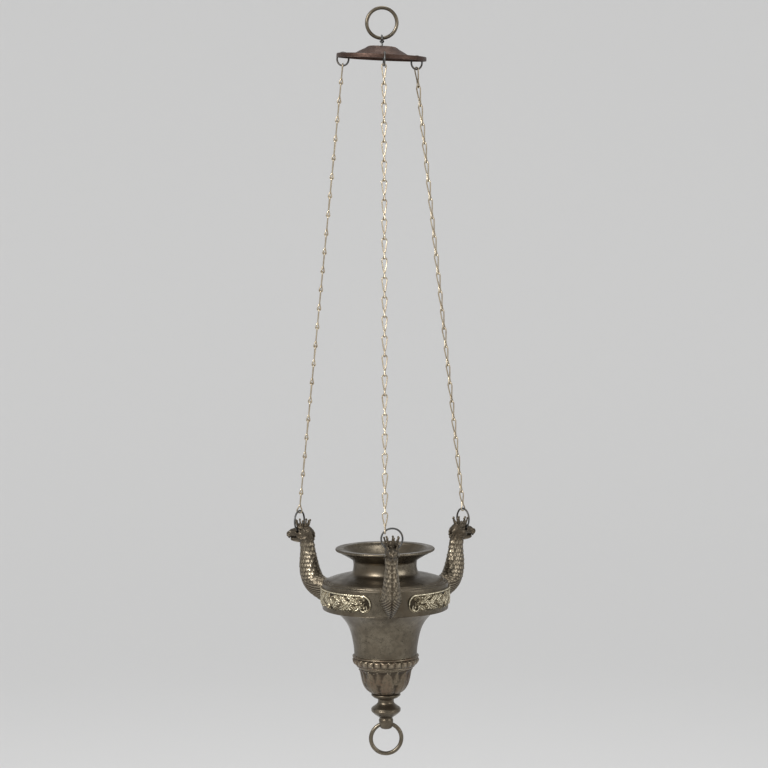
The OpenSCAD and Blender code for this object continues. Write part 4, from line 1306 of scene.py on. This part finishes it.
def feather_tiles(down, turn):
    """Height from 0 to 1 of overlapping feathers."""
    row_at = down / FEATHER_LENGTH
    across = turn / (2 * np.pi) * FEATHERS_ROUND

    def tile(row):
        moved = across - 0.5 * (row % 2)
        from_middle = moved - np.floor(moved) - 0.5
        return from_middle, row_at - row

    row = np.floor(row_at)
    upper_x, upper_y = tile(row - 1)
    lower_x, lower_y = tile(row)
    tip = 0.75 * np.sqrt(np.clip(1 - (2 * upper_x) ** 2, 0, 1))
    covered = lower_y < tip
    upper = 0.30 + 0.40 * upper_y + 0.22 * np.exp(-((upper_x / 0.09) ** 2))
    lower = 0.30 + 0.40 * lower_y + 0.22 * np.exp(-((lower_x / 0.09) ** 2))
    return np.where(covered, upper, lower)


def feathered(mesh):
    """Lift the skin by feathers on the neck, and by a grooved leaf on the root."""
    count = len(mesh.vertices)
    points = np.zeros(count * 3, np.float32)
    mesh.vertices.foreach_get("co", points)
    points = points.reshape(-1, 3).astype(float) / MM
    normals = np.zeros(count * 3, np.float32)
    mesh.vertex_normals.foreach_get("vector", normals)
    normals = normals.reshape(-1, 3)
    down, turn = along_neck(points)
    below = points[:, 2] - rim_z
    on_neck = np.clip((5.0 - below) / 5.0, 0, 1)
    rise = feather_tiles(down, turn)
    patchy = 0.95 + 0.30 * np.sin(down * 0.83 + turn * 3.1) * np.sin(down * 0.31 - turn * 5.3 + 1)
    # the feathers part along a groove down the front, darkened as a hollow with dirt and painted shade
    spine = np.exp(-((points[:, 1] / 0.8) ** 2)) * (np.abs(turn) < 1)
    rise = 0.42 + (rise - 0.42) * patchy - 0.36 * spine
    lift = FEATHER_RISE * (rise - 0.5) * on_neck
    root = np.clip((-44 - below) / 8, 0, 1) * (np.abs(turn) < 1.9)
    groove = np.exp(-((points[:, 1] / 1.1) ** 2))
    veins = np.cos(1.7 * below + 1.5 * np.abs(points[:, 1]))
    leaf_rise = 0.52 + 0.40 * veins - 0.5 * groove
    lift = lift * (1 - root) + root * (0.75 * (leaf_rise - 0.5) - 0.7 * groove)
    rise = rise * (1 - root) + root * np.clip(leaf_rise, 0, 1)
    ruffle = 0.5 + 0.5 * np.sin(points[:, 0] * 1.7 + points[:, 2] * 2.6) * np.sin(points[:, 1] * 2.1)
    past_skull = points[:, 0] - skull_x - 8
    mouth = np.exp(-(((below - hole_up + 7.4 + 0.05 * past_skull) / 0.55) ** 2)) * np.clip(past_skull, 0, 1)
    lift += (0.22 * (ruffle - 0.5) - 0.7 * mouth) * (1 - on_neck)
    # the relief value sets the colour: it is low just below each feather's tip, along the parting and in
    # the mouth, which take dirt and painted shade, and high at the feather tips, which take wear and
    # painted highlight
    relief = on_neck * np.clip(rise * 1.05, 0, 1) + (1 - on_neck) * (0.35 + 0.35 * ruffle) * (1 - mouth)
    points += normals * lift[:, None]
    reach = np.hypot(points[:, 0], points[:, 1])
    inside = (reach < band_r - 0.1) & (below < 0)
    points[inside, 0] *= (band_r - 0.1) / reach[inside]
    return points, relief


arm_points, arm_relief = feathered(arm_mesh)
arm_faces = np.zeros(len(arm_mesh.loops), np.int32)
arm_mesh.loops.foreach_get("vertex_index", arm_faces)
arm_faces = arm_faces.reshape(-1, 4)
turned = np.array(Matrix.Rotation(math.radians(FRONT), 3, "Z"))
bird_front = finished_piece("bird_arm_front", arm_points @ turned.T, arm_faces, cast_bronze, "vessel",
                            "arm_front", relief=arm_relief, sharp=75)
HEAD_HOLE_R = 1.9
hole_ends = [turned @ np.array((head_hole_x, y, head_hole_z)) for y in (-14, 14)]
cut(bird_front, [cutter_rod(*hole_ends, HEAD_HOLE_R)])
bird_front.data.set_sharp_from_angle(angle=math.radians(75))
for side in ("right", "left"):
    mesh = bird_front.data.copy()
    mesh.transform(Matrix.Rotation(math.radians(SIDES[side] - FRONT), 4, "Z"))
    bird = bpy.data.objects.new(f"bird_arm_{side}", mesh)
    bpy.context.scene.collection.objects.link(bird)
    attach(bird, "vessel")
    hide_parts(f"arm_{side}")
print("arms:", len(bird_front.data.vertices), "points each")

# %% [markdown]
# ## Glass
#
# A clear cup for oil and wick stands in the vessel, held by its rolled rim in the funnel of the
# neck. Only its edge shows, but it is a full cup, because it can be lifted out.

# %% Oil glass
glass_low, glass_high = low_mm("oil_glass"), high_mm("oil_glass")
glass_r = glass_high[0]
body_r = neck_r - wall - 4.2
glass_line = outline([
    (glass_r - 2.8, glass_high[2], 0), (glass_r - 0.4, glass_high[2], 0.7),
    (glass_r, glass_high[2] - 1.1, 0.6), (glass_r - 0.6, glass_high[2] - 2.2, 0.6),
    (body_r + 0.4, glass_high[2] - 4.4, 2), (body_r, glass_high[2] - 12, 5),
    (body_r - 1.0, glass_low[2] + 16, 12),
    (body_r * 0.72, glass_low[2], 9), (body_r * 0.3, glass_low[2], 2), (0, glass_low[2] + 0.8, 0)])
inside_line = outline([
    (0, glass_low[2] + 3.2, 0), (body_r * 0.5, glass_low[2] + 2.6, 3),
    (body_r - 4.2, glass_low[2] + 5, 6), (body_r - 3.4, glass_low[2] + 18, 12),
    (body_r - 2.4, glass_high[2] - 10, 4), (glass_r - 2.8, glass_high[2], 0)])
spun_piece("oil_glass_cup", np.concatenate([glass_line, inside_line]), 2.0, 120, clear_glass,
           "oil_glass", "oil_glass")

# %% [markdown]
# The small fixings keep their CAD shape, which is right as it is, and only take the iron finish.

# %% Finish the fixings
for node in ("canopy_washer", "arm_screws", "tie_rod", "tie_washer", "tie_nut"):
    fixing = frame["nodes"][node]
    fixing.data.materials.clear()
    fixing.data.materials.append(dark_iron)
